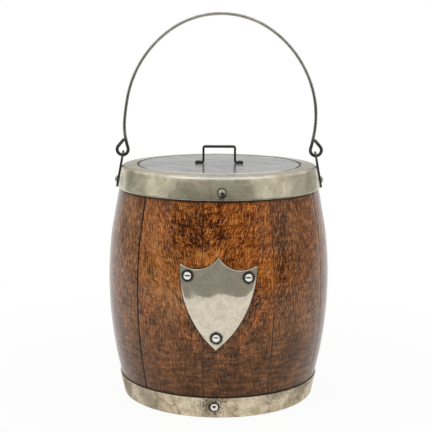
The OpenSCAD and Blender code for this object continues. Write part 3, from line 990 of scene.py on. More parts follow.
@dataclass(frozen=True)
class PaleFloor(Finish):
    """Floor that is white to the camera and to mirrors, with the shadow kept.

    For mirrors it ends at the front edge of the table.
    """

    colour: Colour = (0.86, 0.86, 0.85)
    table_r: float = 560.0
    table_x: float = -40.0
    table_spread: float = 0.9
    edge_blur: float = 20.0
    room_ends: Point = (-300.0, -100.0)
    backing_share: float = 0.93
    shadow_reach: Point = (110.0, 420.0)
    mirrored_share: float = 0.5
    contact_reach: Point = (75.0, 190.0)

    def paint(self, graph: Graph) -> None:
        """Draw the finish in a material's node tree.

        Args:
            graph: Tree to draw in.
        """
        rays = graph.add("NodeLightPath").outputs
        camera = rays["Is Camera Ray"]
        across, ahead, _ = graph.axes(graph.place)
        flat = graph.vector(graph.minus(across, self.table_x), graph.math("MINIMUM", ahead, 0.0))
        reach = graph.math("MULTIPLY_ADD", graph.most(ahead, 0.0), self.table_spread, self.table_r)
        past = graph.minus(graph.measure("LENGTH", flat), reach)
        table = graph.most(graph.span(past, -self.edge_blur, self.edge_blur, 1.0, 0.0), camera)
        grey = graph.blend(graph.span(ahead, *self.room_ends), ROOM_GREY, SIDE_GREY)
        seen = graph.most(camera, rays["Is Glossy Ray"], rays["Is Transmission Ray"])
        away = graph.measure("LENGTH", graph.place)
        plain = graph.span(away, *self.shadow_reach, self.backing_share, 1.0)
        mirrored = graph.span(away, *self.contact_reach, self.mirrored_share, 1.0)
        share = graph.add("NodeMix", {0: camera, 2: mirrored, 3: plain}).outputs[0]
        share = graph.most(graph.times(seen, share), graph.minus(seen, table))
        lit = graph.add("NodeBsdfDiffuse", {"Color": self.colour}).outputs[0]
        white = {"Color": graph.blend(table, grey, WHITE), "Strength": 1.0}
        backing = graph.add("NodeEmission", white).outputs[0]
        mixed = graph.add("NodeMixShader", {0: share, 1: lit, 2: backing}).outputs[0]
        graph.add("NodeOutputMaterial", {"Surface": mixed})


PIN_FINISH = WornPlate(
    "pin_silver", colour=(0.88, 0.86, 0.82), thin=(0.80, 0.78, 0.73), stain=(0.2, 0.18, 0.15),
    stain_share=0.15, stain_size=3.0, roughness=(0.02, 0.05), relief=0.004, metallic=1.0,
)
SCREW_FINISH = WornPlate(
    "screw_silver", colour=(0.56, 0.53, 0.45), thin=(0.26, 0.24, 0.20), stain=(0.04, 0.035, 0.03),
    stain_share=0.9, stain_size=1.6, roughness=(0.30, 0.42), relief=0.04,
)
WIRE_FINISH = WornPlate(
    "dull_wire", colour=(0.20, 0.19, 0.165), thin=(0.10, 0.094, 0.08), stain=(0.035, 0.031, 0.026),
    stain_share=0.7, stain_size=7.0, roughness=(0.24, 0.4), rub_size=(2.0, 2.0, 9.0), relief=0.03,
    metallic=1.0,
)


# Forms shared by several pieces


@dataclass(frozen=True)
class BarrelForm:
    """Outside of the staves: one long arc turned round the axis."""

    bilge_d: float = 168.0
    bulge_r: float = 302.0
    bilge_z: float = 89.0

    def radius(self, z: float, lift: float = 0.0) -> float:
        """Radius at a height of a skin that lies some way off the staves."""
        reach = math.sqrt((self.bulge_r + lift) ** 2 - (z - self.bilge_z) ** 2)
        return self.bilge_d / 2 - self.bulge_r + reach

    def tilt(self, z: float, lift: float = 0.0) -> float:
        """Upward tilt of that skin."""
        return math.degrees(math.asin((z - self.bilge_z) / (self.bulge_r + lift)))


@dataclass(frozen=True)
class Cone:
    """Seat that is turned on the staves for a metal band."""

    form: BarrelForm
    z: float
    lean: float

    def radius(self, z: float, lift: float = 0.0) -> float:
        """Radius at a height of a skin that lies some way off the seat."""
        lean = math.radians(self.lean)
        return self.form.radius(self.z) - (z - self.z) * math.tan(lean) + lift / math.cos(lean)

    def spots(self, azimuths: Iterable[float], z: float, lift: float) -> list[Matrix]:
        """Places of fasteners whose heads sit on a skin that lies some way off the seat."""
        return [on_wall(azimuth, self.radius(z, lift) + SEAT_FIT, z, self.lean) for azimuth in azimuths]


FORM = BarrelForm()
COLLAR_SEAT = Cone(FORM, z=159.6, lean=10.5)
HOOP_SEAT = Cone(FORM, z=16.0, lean=-12.5)
SEAT_FIT = 0.1


@dataclass(frozen=True)
class Fastener:
    """A domed head with a pointed shank, upright, with the underside of the head at height 0."""

    head_d: float
    head_h: float
    shank_d: float
    shank_l: float
    slot_w: float = 0.0
    slot_depth: float = 0.0
    edge_round: float = 0.12
    steps: int = 40

    def mesh(self, place: Matrix) -> BMesh:
        """Build the fastener.

        Args:
            place: Where it goes.

        Returns:
            Its mesh.
        """
        dome = arc((0.0, 0.0), 1.0, 90.0, 0.0, DOME_STEPS)
        section = [(x * self.head_d / 2, z * self.head_h) for x, z in dome]
        half = self.shank_d / 2
        section += [(half, 0.0), (half, self.shank_d - self.shank_l), (0.0, -self.shank_l)]
        bm = turned(section, closed=False, steps=self.steps)
        if self.slot_w:
            self.cut_slot(bm)
        soften(bm, self.edge_round)
        return moved(bm, place)

    def cut_slot(self, bm: BMesh) -> None:
        """Sink the slot for a screwdriver across the head.

        Args:
            bm: Mesh of the upright fastener.
        """
        for edge in (-self.slot_w / 2, self.slot_w / 2):
            geom = [*bm.verts, *bm.edges, *bm.faces]
            plane = {"plane_co": (edge, 0, 0), "plane_no": (1, 0, 0)}
            bmesh.ops.bisect_plane(bm, geom=geom, dist=MERGE_DISTANCE, **plane)
        half = self.slot_w / 2 + MERGE_DISTANCE
        floor = self.head_h - self.slot_depth
        above = [f for f in bm.faces if f.normal.z > LEAST_UPWARD and f.calc_center_median().z > floor]
        above = [f for f in above if all(abs(v.co.x) < half for v in f.verts)]
        sunk = bmesh.ops.extrude_face_region(bm, geom=above)["geom"]
        bmesh.ops.delete(bm, geom=above, context="FACES_ONLY")
        for v in verts_of(sunk):
            v.co.z = min(v.co.z, floor)
        tidy(bm)


PIN = Fastener(head_d=6.0, head_h=2.0, shank_d=2.0, shank_l=9.0)
SCREW = Fastener(head_d=5.2, head_h=1.7, shank_d=2.4, shank_l=6.0, slot_w=0.8, slot_depth=0.7)
RIVET = Fastener(head_d=3.2, head_h=0.4, shank_d=1.8, shank_l=2.8)


# Sub-assemblies


@dataclass
class SubAssembly(ABC):
    """Pieces of the bucket that are made together."""

    body: ClassVar[Body] = Body.BARREL

    @abstractmethod
    def build(self) -> None:
        """Model the pieces and dress them."""

    def write(
        self, name: str, bm: BMesh, nodes: Sequence[str], slot: Slot, finish: Finish, smooth: float = 35.0
    ) -> None:
        """Write a modelled piece into the scene and dress it.

        Args:
            name: Name of the piece.
            bm: Its mesh in millimetres, which is used up.
            nodes: Nodes of the construction that it stands for.
            slot: Material slot of the record; not used.
            finish: Its finish.
            smooth: Angle up to which edges are shaded smooth.
        """
        bmesh.ops.scale(bm, vec=(MM, MM, MM), verts=bm.verts)
        mesh = written(name, bm)
        mesh.shade_smooth()
        mesh.set_sharp_from_angle(angle=math.radians(smooth))
        mesh.materials.append(finish.material())
        piece = linked(name, mesh)
        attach(piece, self.body.value)
        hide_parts(*nodes)
        LOG.info("%s: %d faces on %s", name, len(mesh.polygons), self.body.value)

    def fasten(
        self, name: str, kind: Fastener, places: Iterable[Matrix], node: str, finish: Finish,
        slot: Slot = Slot.PLATED_FASTENERS,
    ) -> None:
        """Write fasteners of one kind as one piece."""
        self.write(name, joined(kind.mesh(place) for place in places), [node], slot, finish)

    def screw(self, name: str, places: Sequence[Matrix]) -> None:
        """Write screws whose slots are clogged with old polish as one piece.

        Args:
            name: Name of what they hold.
            places: Where they go.
        """
        clogging = dirt_and_reflection_round(places, (0.5, -1.1, SCREW.head_h), inner=0.9, outer=2.2, share=0.95)
        finish = replace(SCREW_FINISH, name=f"{name}_screw_silver", halos=clogging)
        self.fasten(f"{name}_slot_screws", SCREW, places, f"{name}_screws", finish)


@dataclass
class Staves(SubAssembly):
    """Ten bowed oak staves with seats at both ends, a groove for the head and a rebate for the lip."""

    count: int = 10
    thickness: float = 10.0
    foot_z: float = 0.9
    top_z: float = 174.9
    joint_gap: float = 0.15
    open_gap: float = 0.6
    open_azimuth: float = -44.0
    edge_round: float = 0.12
    open_edge_round: float = 0.35
    lip_t: float = 3.4
    rim_wall: float = 7.0
    croze_z: float = 9.0
    croze_h: float = 4.0
    croze_depth: float = 3.0
    chime_bevel: float = 4.0
    end_round: float = 1.2
    rows: int = 28
    steps: int = 20
    warmth: tuple[float, ...] = (0.72, 1.0, 0.45, 0.4, 0.6, 0.75, 0.5, 0.65, 0.55, 0.2)
    lean: tuple[float, ...] = (-0.32, 0.38, 0.15, -0.1, 0.2, -0.25, 0.1, 0.3, -0.15, 0.05)
    lean_from: float = 70.0
    lean_blend: float = 30.0
    board_gap: float = 1.7 * FORM.bilge_d
    # Painted shade and dirt along the collar's and the hoop's edges: heights and reach.
    dirt_and_shade_lines: tuple[tuple[float, float], ...] = ((COLLAR_SEAT.z, 2.5), (HOOP_SEAT.z, 2.2))
    patches: tuple[Patch, ...] = (
        Patch((-16.0, -80.0, 140.0), 21.0, 20.0, -0.25, 0.1),
        Patch((-43.0, -72.0, 138.0), 12.0, 34.0, 0.11, 0.1),
        Patch((-7.0, -80.0, 122.0), 12.0, 8.0, 0.24, 0.4),
        Patch((15.0, -80.0, 138.0), 17.0, 26.0, 0.0, 0.4),
        Patch((45.0, -70.0, 120.0), 5.0, 42.0, -0.16),
        Patch((-32.0, -80.0, 92.0), 17.0, 36.0, 0.18),
        Patch((-38.0, -72.0, 42.0), 24.0, 26.0, 0.07, 0.15),
        Patch((36.0, -75.0, 108.0), 10.0, 22.0, 0.10, 0.4),
        Patch((-64.0, -55.0, 110.0), 18.0, 80.0, 0.10),
        Patch((-66.0, -50.0, 122.0), 11.0, 18.0, -0.07),
        Patch((62.0, -52.0, 70.0), 16.0, 34.0, 0.09),
        Patch((-66.0, -42.0, 150.0), 10.0, 16.0, 0.08),
        Patch((-47.0, -70.0, 106.0), 10.0, 26.0, 0.13),
        Patch((-24.0, -80.0, 66.0), 12.0, 14.0, -0.12),
        Patch((27.0, -79.0, 84.0), 9.0, 16.0, -0.08),
    )

    def skin(self, z: float) -> float:
        """Outside radius of a stave, with the seats of the collar and the hoop turned on it."""
        return min(FORM.radius(z), COLLAR_SEAT.radius(z), HOOP_SEAT.radius(z))

    def inner(self, z: float) -> float:
        """Inside radius of a stave."""
        return FORM.radius(z, -self.thickness)

    def outside(self) -> list[Point]:
        """Outside line of a stave.

        Returns:
            The line from the foot to the top, with eased ends.
        """
        wall_h = self.top_z - self.foot_z - 2 * self.end_round
        heights = [self.foot_z + self.end_round + k * wall_h / self.rows for k in range(self.rows + 1)]
        foot, top = ((self.skin(z) - self.end_round, z) for z in (self.foot_z, self.top_z))
        return [foot, *((self.skin(z), z) for z in heights), top]

    def inside(self) -> list[Point]:
        """Inside line of a stave.

        Returns:
            The line from the top to the foot, with the rebate, the groove and the bevel.
        """
        rebate_r = COLLAR_SEAT.radius(self.top_z) - self.rim_wall
        rebate_z = node_box("liner")[1].z - self.lip_t
        croze_top = self.croze_z + self.croze_h
        croze_r = self.inner(self.croze_z + self.croze_h / 2) + self.croze_depth
        heights = [rebate_z - k * (rebate_z - croze_top) / self.rows for k in range(self.rows + 1)]
        line = [(rebate_r, self.top_z), (rebate_r, rebate_z)]
        line += [(self.inner(z), z) for z in heights]
        line += [(croze_r, croze_top), (croze_r, self.croze_z)]
        line += [(self.inner(z), z) for z in (self.croze_z, self.foot_z + self.chime_bevel)]
        line.append((self.inner(self.foot_z) + self.chime_bevel, self.foot_z))
        return line

    def joint_half_angle(self, joint: int) -> float:
        """Angle that half of a joint takes; joint 0 has dried open."""
        gap = self.open_gap if joint % self.count == 0 else self.joint_gap
        return math.degrees(math.asin(gap / FORM.bilge_d))

    def stave(self, index: int) -> BMesh:
        """Build one stave.

        Args:
            index: Number of the stave, from 0 at the open joint.

        Returns:
            Its mesh, with a grain map and its warmth.
        """
        step = 360.0 / self.count
        start = self.open_azimuth + index * step + self.joint_half_angle(index)
        end = self.open_azimuth + (index + 1) * step - self.joint_half_angle(index + 1)
        bm = bmesh.new()
        first = wire(bm, self.outside() + self.inside(), closed=True)
        moved(bm, rotation(start - 90, "Z"))
        turn = math.radians(end - start)
        spun = bmesh.ops.spin(bm, geom=[*first, *bm.verts], axis=(0, 0, 1), angle=turn, steps=self.steps)
        for loop in (first, edges_of(spun["geom_last"])):
            bmesh.ops.contextual_create(bm, geom=loop)
        tidy(bm)
        self.round_edge(bm, start, index)
        self.round_edge(bm, end, index + 1)
        self.map_grain(bm, (start + end) / 2, index)
        return bm

    def round_edge(self, bm: BMesh, azimuth: float, joint: int) -> None:
        """Round the long outside edge of a stave at one joint.

        Args:
            bm: Mesh of the stave.
            azimuth: Azimuth of its side there.
            joint: Number of the joint, from 0 at the open one.
        """
        width = self.open_edge_round if joint % self.count == 0 else self.edge_round
        away = heading(azimuth)
        side = Vector((-away.y, away.x, 0))
        corner = {
            v for v in bm.verts
            if abs(v.co.dot(side)) < MERGE_DISTANCE and v.co.dot(away) > self.skin(v.co.z) - MERGE_DISTANCE
        }
        bevel(bm, [e for e in bm.edges if corner.issuperset(e.verts)], width, segments=3)

    def map_grain(self, bm: BMesh, middle: float, index: int) -> None:
        """Lay the grain map along a stave, leaning towards the top, and note how warm its colour is.

        Args:
            bm: Mesh of the stave.
            middle: Azimuth of its middle.
            index: Number of the stave.
        """
        layer = bm.loops.layers.uv.new(VarnishedOak.GRAIN_MAP)
        warmth = bm.verts.layers.float.new(VarnishedOak.WARMTH)
        back = rotation(-middle, "Z", 3)
        for v in bm.verts:
            v[warmth] = self.warmth[index]
        for loop in (loop for face in bm.faces for loop in face.loops):
            place = back @ loop.vert.co
            across = math.atan2(place.x, -place.y) * FORM.bilge_d / 2
            rise = place.z - self.lean_from
            across -= self.lean[index] * (rise + math.hypot(rise, self.lean_blend)) / 2
            loop[layer].uv = (across + index * self.board_gap, place.z)

    def build(self) -> None:
        """Model the staves and dress them."""
        finish = VarnishedOak(
            "varnished_oak", patches=self.patches, dirt_and_shade_lines=self.dirt_and_shade_lines, plate=Shield(),
            open_joint=self.open_azimuth, joints=self.count,
        )
        for index in range(self.count):
            name = f"stave_{index + 1}"
            self.write(f"{name}_oak", self.stave(index), [name], Slot.OAK, finish)


@dataclass
class Vessel(SubAssembly):
    """Bottom head in its groove, and the ceramic liner above it."""

    head_z: float = 7.0
    head_t: float = 8.0
    tongue_t: float = 4.0
    tongue_reach: float = 2.8
    head_bevel: float = 4.0
    head_round: float = 0.3
    wood_fit: float = 0.2
    lip_t: float = Staves.lip_t
    liner_gap: float = 2.0
    stave_t: float = Staves.thickness
    wall: float = 4.5
    floor: float = 5.0
    foot_round: float = 5.0
    floor_round: float = 8.0

    def head(self) -> BMesh:
        """Turn the bottom head.

        Returns:
            The head with its bevelled tongue.
        """
        tongue_z = self.head_z + (self.head_t - self.tongue_t) / 2
        inner_r = FORM.radius(tongue_z, -self.stave_t) - self.wood_fit
        rim_r = inner_r + self.tongue_reach
        flat_r = inner_r - self.head_bevel
        under = [(0.0, self.head_z), (flat_r, self.head_z), (inner_r, tongue_z), (rim_r, tongue_z)]
        over = [(r, 2 * self.head_z + self.head_t - z) for r, z in reversed(under)]
        return turned(under + over, closed=False, steps=128, round_w=self.head_round)

    def liner(self) -> BMesh:
        """Turn the liner.

        Returns:
            The liner with a rounded foot, a round inside and a lip.
        """
        low, high = node_box("liner")
        lip_r, foot_z, lip_z1 = high.x, low.z, high.z
        lip_z0 = lip_z1 - self.lip_t
        outer_r = min(FORM.radius(z, -self.stave_t) for z in (foot_z, lip_z0)) - self.liner_gap
        well_r = outer_r - self.wall
        lip_round = self.lip_t / 3
        floor_z = foot_z + self.floor
        section = [(0.0, foot_z)]
        foot = (outer_r - self.foot_round, foot_z + self.foot_round)
        section += arc(foot, self.foot_round, -90, 0, BEND_STEPS)
        section += [(outer_r, lip_z0)]
        section += arc((lip_r - lip_round, lip_z0 + lip_round), lip_round, -90, 0, LIP_STEPS)
        section += arc((lip_r - lip_round, lip_z1 - lip_round), lip_round, 0, 90, LIP_STEPS)
        section += arc((well_r + lip_round, lip_z1 - lip_round), lip_round, 90, 180, LIP_STEPS)
        well = (well_r - self.floor_round, floor_z + self.floor_round)
        section += arc(well, self.floor_round, 0, -90, BEND_STEPS)
        section += [(0.0, floor_z)]
        return turned(section, closed=False)

    def build(self) -> None:
        """Model the head and the liner and dress them."""
        self.write("bottom_board", self.head(), ["bottom_head"], Slot.OAK, PlainOak("plain_oak"))
        self.write("ceramic_liner", self.liner(), ["liner"], Slot.GLAZE, WhiteGlaze("white_glaze"))


@dataclass
class BaseHoop(SubAssembly):
    """Plated hoop round the foot, turned in under the staves, with a dome pin at the front and the back."""

    height: float = 16.0
    thickness: float = 0.9
    foot_w: float = 6.0
    bend_r: float = 1.1
    edge_round: float = 0.2
    pin_z: float = 9.0
    pin_azimuths: Point = (-2.0, 178.0)
    reflection_rise: float = 1.2
    reflection_half: float = 0.5
    soiled_places: Stains = (
        ((38.0, -62.0, 17.0), 14.0), ((60.0, -42.0, 17.0), 20.0), ((-66.0, -28.0, 12.0), 18.0),
        ((-52.0, -55.0, 9.0), 17.0), ((20.0, 67.0, 10.0), 22.0), ((-58.0, 38.0, 6.0), 20.0),
    )
    ripple: Ripple = Ripple(height=0.10, length=19.0, seed=3.0)

    def hoop(self) -> BMesh:
        """Bend the hoop.

        Returns:
            The sheet of the hoop.
        """
        half = self.thickness / 2
        path = [(HOOP_SEAT.radius(z, SEAT_FIT + half), z) for z in (self.height, half)]
        path.append((HOOP_SEAT.radius(self.thickness) - self.foot_w, half))
        section = sheet_section(path, [self.bend_r + half], self.thickness)
        bm = turned(section, closed=True, round_w=self.edge_round)
        self.ripple.press(bm)
        return bm

    def build(self) -> None:
        """Model the hoop and its pins and dress them."""
        places = HOOP_SEAT.spots(self.pin_azimuths, self.pin_z, SEAT_FIT + self.thickness)
        halos = dirt_and_reflection_round(places, MIDDLE, inner=3.2, outer=4.6)
        halos += dirt_and_reflection_round(places, (-2.0, 0.5, 0.0), inner=2.0, outer=12.0, share=0.85, speckle=6.0)
        halos += dirt_at(self.soiled_places, inner=2.0, share=0.55, speckle=8.0)
        finish = WornPlate(
            "hoop_plate", colour=(0.88, 0.765, 0.565), thin=(0.50, 0.40, 0.24), thin_share=0.7,
            stain=(0.13, 0.085, 0.045), stain_share=0.9, stain_size=8.0, pit_share=0.7,
            dirt=(0.066, 0.045, 0.025), roughness=(0.26, 0.42), halos=halos, metallic=0.75,
        )
        # Painted dark reflections: two dark spots on each pin's dome, drawn as halos in the pin finish.
        spots = ()
        for x in (-self.reflection_half, self.reflection_half):
            reflection_place = (x, self.reflection_rise, PIN.head_h)
            spots += dirt_and_reflection_round(places, reflection_place, inner=0.6, outer=1.0, share=0.95, speckle=0.1)
        reflected_pin_finish = replace(PIN_FINISH, name="hoop_pin_silver", halos=spots)
        self.write("base_hoop_sheet", self.hoop(), ["base_hoop"], Slot.PLATED_SHEET, finish)
        self.fasten("hoop_dome_pins", PIN, places, "hoop_pins", reflected_pin_finish)


@dataclass
class Collar(SubAssembly):
    """Plated collar round the mouth: a tapered band, a rounded corner, a flange and the lid's seat."""

    foot_z: float = COLLAR_SEAT.z
    thickness: float = 1.0
    corner_r: float = 1.2
    flange_rise: float = 0.8
    seat_bend_r: float = 0.2
    seat_depth: float = 1.6
    edge_round: float = 0.25
    lid_play: float = 0.8
    screw_rise: float = 5.7
    screw_azimuths: Point = (1.5, 181.5)
    crown: float = 0.15
    highlight_drop: float = 0.3
    ripple: Ripple = Ripple(height=0.07, length=21.0, seed=7.0)
    dents: tuple[Dent, ...] = (
        Dent((-46.0, -58.5, 172.5), radius=7.0, depth=0.35),
        Dent((38.0, -65.0, 168.0), radius=11.0, depth=0.25),
        Dent((-20.0, 72.0, 167.0), radius=10.0, depth=0.3),
    )
    soiled_places: Stains = (
        ((-63.0, -38.0, 172.0), 11.0), ((-32.0, -68.0, 161.0), 8.0), ((67.0, -30.0, 166.0), 15.0),
        ((24.0, 69.0, 168.0), 14.0), ((-60.0, 42.0, 164.0), 12.0), ((75.0, -22.0, 170.0), 12.0),
        ((-75.0, -22.0, 168.0), 10.0),
    )

    def __post_init__(self) -> None:
        """Take the collar's top and the lid's opening from the frame."""
        self.flange_z = node_box("collar")[1].z
        self.opening_r = node_box("lid_plate")[1].x + self.lid_play

    def sheet(self) -> BMesh:
        """Bend the collar.

        Returns:
            The sheet of the collar, crowned and dented.
        """
        half = self.thickness / 2
        corner_z = self.flange_z - self.flange_rise - half
        seat_z = self.flange_z - self.seat_depth - half
        path = [(COLLAR_SEAT.radius(z, SEAT_FIT + half), z) for z in (self.foot_z, corner_z)]
        path += [(self.opening_r + half, z) for z in (self.flange_z - half, seat_z)]
        path.append((node_box("lid_ring")[1].x + self.lid_play, seat_z))
        radii = [r + half for r in (self.corner_r, self.seat_bend_r, self.seat_bend_r)]
        section = sheet_section(path, radii, self.thickness)
        bm = turned(section, closed=True, steps=240, round_w=self.edge_round)
        middle, half_h = (self.foot_z + corner_z) / 2, (corner_z - self.foot_z) / 2
        for v in bm.verts:
            Direction.OUTWARDS.push(v, self.crown * max(0.0, 1 - ((v.co.z - middle) / half_h) ** 2))
        for mark in (self.ripple, *self.dents):
            mark.press(bm)
        return bm

    def corner_highlight(self) -> PaintedHighlight:
        """Find where the highlight is painted on the collar.

        Returns:
            The painted highlight along the top corner at the front.
        """
        z = self.flange_z - self.flange_rise - self.corner_r / 2
        centre = (0.0, -COLLAR_SEAT.radius(z, self.thickness), z - self.highlight_drop)
        return PaintedHighlight(centre, half_h=0.75, inner=18.0, outer=48.0, share=0.95)

    def build(self) -> None:
        """Model the collar and its screws and dress them."""
        screw_z = self.foot_z + self.screw_rise
        places = COLLAR_SEAT.spots(self.screw_azimuths, screw_z, SEAT_FIT + self.thickness)
        halos = dirt_and_reflection_round(places, MIDDLE, inner=2.6, outer=4.4)
        halos += dirt_at(self.soiled_places, inner=1.0, share=0.35, speckle=3.0)
        halos += dirt_and_reflection_round(places[:1], MIDDLE, inner=4.0, outer=32.0, share=0.26, speckle=5.0)
        halos += dirt_and_reflection_round(places, (0.3, -3.0, 0.0), inner=1.2, outer=3.6, share=0.85, speckle=0.9)
        # Its rim mark paints shade in the gap round the lid.
        # The collar's finish paints a highlight along the top corner at the front.
        finish = WornPlate(
            "collar_plate", colour=(0.71, 0.65, 0.48), thin=(0.47, 0.42, 0.28), stain_share=0.6,
            stain_size=9.0, pit_gap=8.0, pit_share=0.9, scratch_share=0.25, roughness=(0.14, 0.22),
            rub_share=0.05, wear_size=(11.0, 11.0, 11.0), dirt=(0.022, 0.016, 0.009), halos=halos,
            rim=GapShade(self.opening_r - 4.0, self.opening_r + 0.25, self.flange_z), painted_highlight=self.corner_highlight(),
        )
        self.write("collar_sheet", self.sheet(), ["collar"], Slot.PLATED_SHEET, finish)
        self.screw("collar", places)


@dataclass
class Ears(SubAssembly):
    """Two straps on the collar, each with an eye for the bail and one screw."""

    pivot_z: float
    thickness: float = 1.5
    width: float = 6.6
    eye_r: float = 3.5
    hole_r: float = 1.55
    drop: float = 1.5
    foot_r: float = 6.0
    edge_round: float = 0.2
    screw_rise: float = 5.2
    collar_t: float = Collar.thickness
    rows: int = 8
    steps: int = 48

    def strap(self, turn: float) -> BMesh:
        """Build one strap.

        Args:
            turn: Turn round the barrel, from 0 on the right.

        Returns:
            Its mesh.
        """
        bm = bmesh.new()
        for radius in (self.eye_r, self.hole_r):
            bmesh.ops.create_circle(bm, segments=self.steps, radius=radius, matrix=rotation(90, "Y"))
        bmesh.ops.bridge_loops(bm, edges=bm.edges[:])
        foot_z = COLLAR_SEAT.z - self.drop - self.pivot_z
        below = {v for v in bm.verts if v.co.z < 0 and abs(v.co.y) <= self.width / 2}
        outer = {v for v in below if v.co.length > (self.eye_r + self.hole_r) / 2}
        lower = [e for e in bm.edges if e.is_boundary and outer.issuperset(e.verts)]
        for v in verts_of(bmesh.ops.extrude_edge_only(bm, edges=lower)["geom"]):
            v.co.z = foot_z + self.foot_r - math.sqrt(self.foot_r**2 - v.co.y**2)
        rails = [e for e in bm.edges if abs(e.verts[0].co.z - e.verts[1].co.z) > self.eye_r]
        bmesh.ops.subdivide_edges(bm, edges=rails, cuts=self.rows, use_grid_fill=True)
        bmesh.ops.recalc_face_normals(bm, faces=bm.faces)
        bmesh.ops.solidify(bm, geom=bm.faces[:], thickness=self.thickness)
        tidy(bm)
        soften(bm, self.edge_round)
        spread = [v.co.x for v in bm.verts]
        bmesh.ops.translate(bm, vec=(-(min(spread) + max(spread)) / 2, 0, 0), verts=bm.verts)
        place = Matrix.Translation((self.pivot_x(), 0, self.pivot_z)) @ rotation(-COLLAR_SEAT.lean, "Y")
        return moved(bm, rotation(turn, "Z") @ place)

    def pivot_x(self) -> float:
        """Where the middle of a strap lies at the height of its eye."""
        return COLLAR_SEAT.radius(self.pivot_z, 2 * SEAT_FIT + self.collar_t + self.thickness / 2)

    def build(self) -> None:
        """Model the ears and their screws and dress them."""
        for turn, node in ((180, "left_ear"), (0, "right_ear")):
            self.write(f"{node}_strap", self.strap(turn), [node], Slot.WIRE, WIRE_FINISH)
        lift = 2 * SEAT_FIT + self.collar_t + self.thickness
        places = COLLAR_SEAT.spots((-90, 90), COLLAR_SEAT.z + self.screw_rise, lift)
        self.screw("ear", places)


@dataclass
class Bail(SubAssembly):
    """One bent wire: a round crown, bowed sides and an end loop in each ear."""

    body: ClassVar[Body] = Body.BAIL
    pivot_x: float
    pivot_z: float
    wire_d: float = 2.4
    rise: float = 106.6
    belly_h: float = 28.0
    crown_inset: float = 6.2
    loop_r: float = 4.2
    loop_end: float = 40.0
    tail_gap: float = 0.3
    tail_rounds: tuple[Point, ...] = ((0.35, 0.82), (0.15, 0.5))
    dirt_reach: float = 16.0
    lean: float = 1.1
    pinch: float = 0.55
    sag: float = 0.5
    sides: int = 20
    crown_steps: int = 28
    steps: int = 40

    def side_r(self, half_w: float) -> float:
        """Radius of the sides that leads smoothly into the crown."""
        high = self.rise - self.belly_h
        return (half_w**2 + high**2 - 2 * high * (half_w - self.crown_inset)) / (2 * self.crown_inset)

    def half_width(self) -> float:
        """Search for the half width of the bail that brings the end loops to the ears.

        Returns:
            The half width.
        """
        low, high = self.pivot_x - 4 * self.loop_r, self.pivot_x + 4 * self.loop_r
        drop = self.belly_h - self.loop_r
        for _ in range(SEARCH_STEPS):
            middle = (low + high) / 2
            side_r = self.side_r(middle)
            loop_x = middle - side_r + math.sqrt((side_r + self.loop_r) ** 2 - drop**2)
            low, high = (middle, high) if loop_x < self.pivot_x else (low, middle)
        return (low + high) / 2

    def bent_wire(self) -> BMesh:
        """Draw the right half of the wire along its arcs, then mirror it.

        Returns:
            The mesh of the wire.
        """
        half_w = self.half_width()
        side_r = self.side_r(half_w)
        crown = Vector((0, 0, self.rise - (half_w - self.crown_inset)))
        side = Vector((half_w - side_r, 0, self.belly_h))
        loop = Vector((self.pivot_x, 0, self.loop_r))
        crown_angle, loop_angle = (math.atan2(c.z - side.z, c.x - side.x) for c in (crown, loop))
        end_angle = math.radians(self.loop_end)
        bm = bmesh.new()
        start = Matrix.Translation((0, 0, self.rise)) @ rotation(90, "Y")
        bmesh.ops.create_circle(bm, segments=self.sides, radius=self.wire_d / 2, matrix=start)
        ring = bent_on(bm, bm.edges[:], crown, math.pi / 2 - crown_angle, self.crown_steps)
        ring = bent_on(bm, ring, side, crown_angle - loop_angle, self.steps)
        ring = bent_on(bm, ring, loop, loop_angle - math.pi - end_angle, self.steps)
        end = Vector((math.cos(end_angle), 0, math.sin(end_angle)))
        along = Vector((-end.z, 0, end.x))
        to_side = side - (loop + self.loop_r * end)
        clear_r = side_r + self.wire_d / 2 + self.tail_gap
        tail_l = to_side.dot(along) - math.sqrt(clear_r**2 - to_side.cross(along).length_squared)
        for run, size in ((tail_l, 1.0), *self.tail_rounds):
            ring = drawn_on(bm, ring, along * run, size)
        mirror_half(bm, ring)
        self.bow(bm, half_w)
        return moved(bm, Matrix.Translation((0, 0, self.pivot_z)))

    def bow(self, bm: BMesh, half_w: float) -> None:
        """Lean the wire a little to the right, more at its left shoulder, as use has bent it.

        Args:
            bm: Mesh of the wire.
            half_w: Its half width.
        """
        for v in bm.verts:
            high = min(1.0, max(0.0, (v.co.z - 3 * self.loop_r) / self.belly_h))
            free = high**2 * (3 - 2 * high)
            v.co.x += free * (self.lean - self.pinch * v.co.x / half_w)
            v.co.z -= self.sag * (v.co.z / self.rise) ** 2

    def build(self) -> None:
        """Model the bail and dress it."""
        eye_z = self.pivot_z + self.loop_r
        eyes = tuple(((side * self.pivot_x, 0.0, eye_z), self.dirt_reach) for side in (-1, 1))
        finish = WornPlate(
            "bail_steel", colour=(0.62, 0.60, 0.53), thin=(0.40, 0.38, 0.33), stain=(0.12, 0.11, 0.09),
            stain_share=0.6, stain_size=7.0, roughness=(0.22, 0.34), relief=0.02, metallic=1.0,
            halos=dirt_at(eyes, inner=5.0, share=0.8, speckle=1.0),
        )
        self.write("bail_wire", self.bent_wire(), ["bail"], Slot.WIRE, finish)


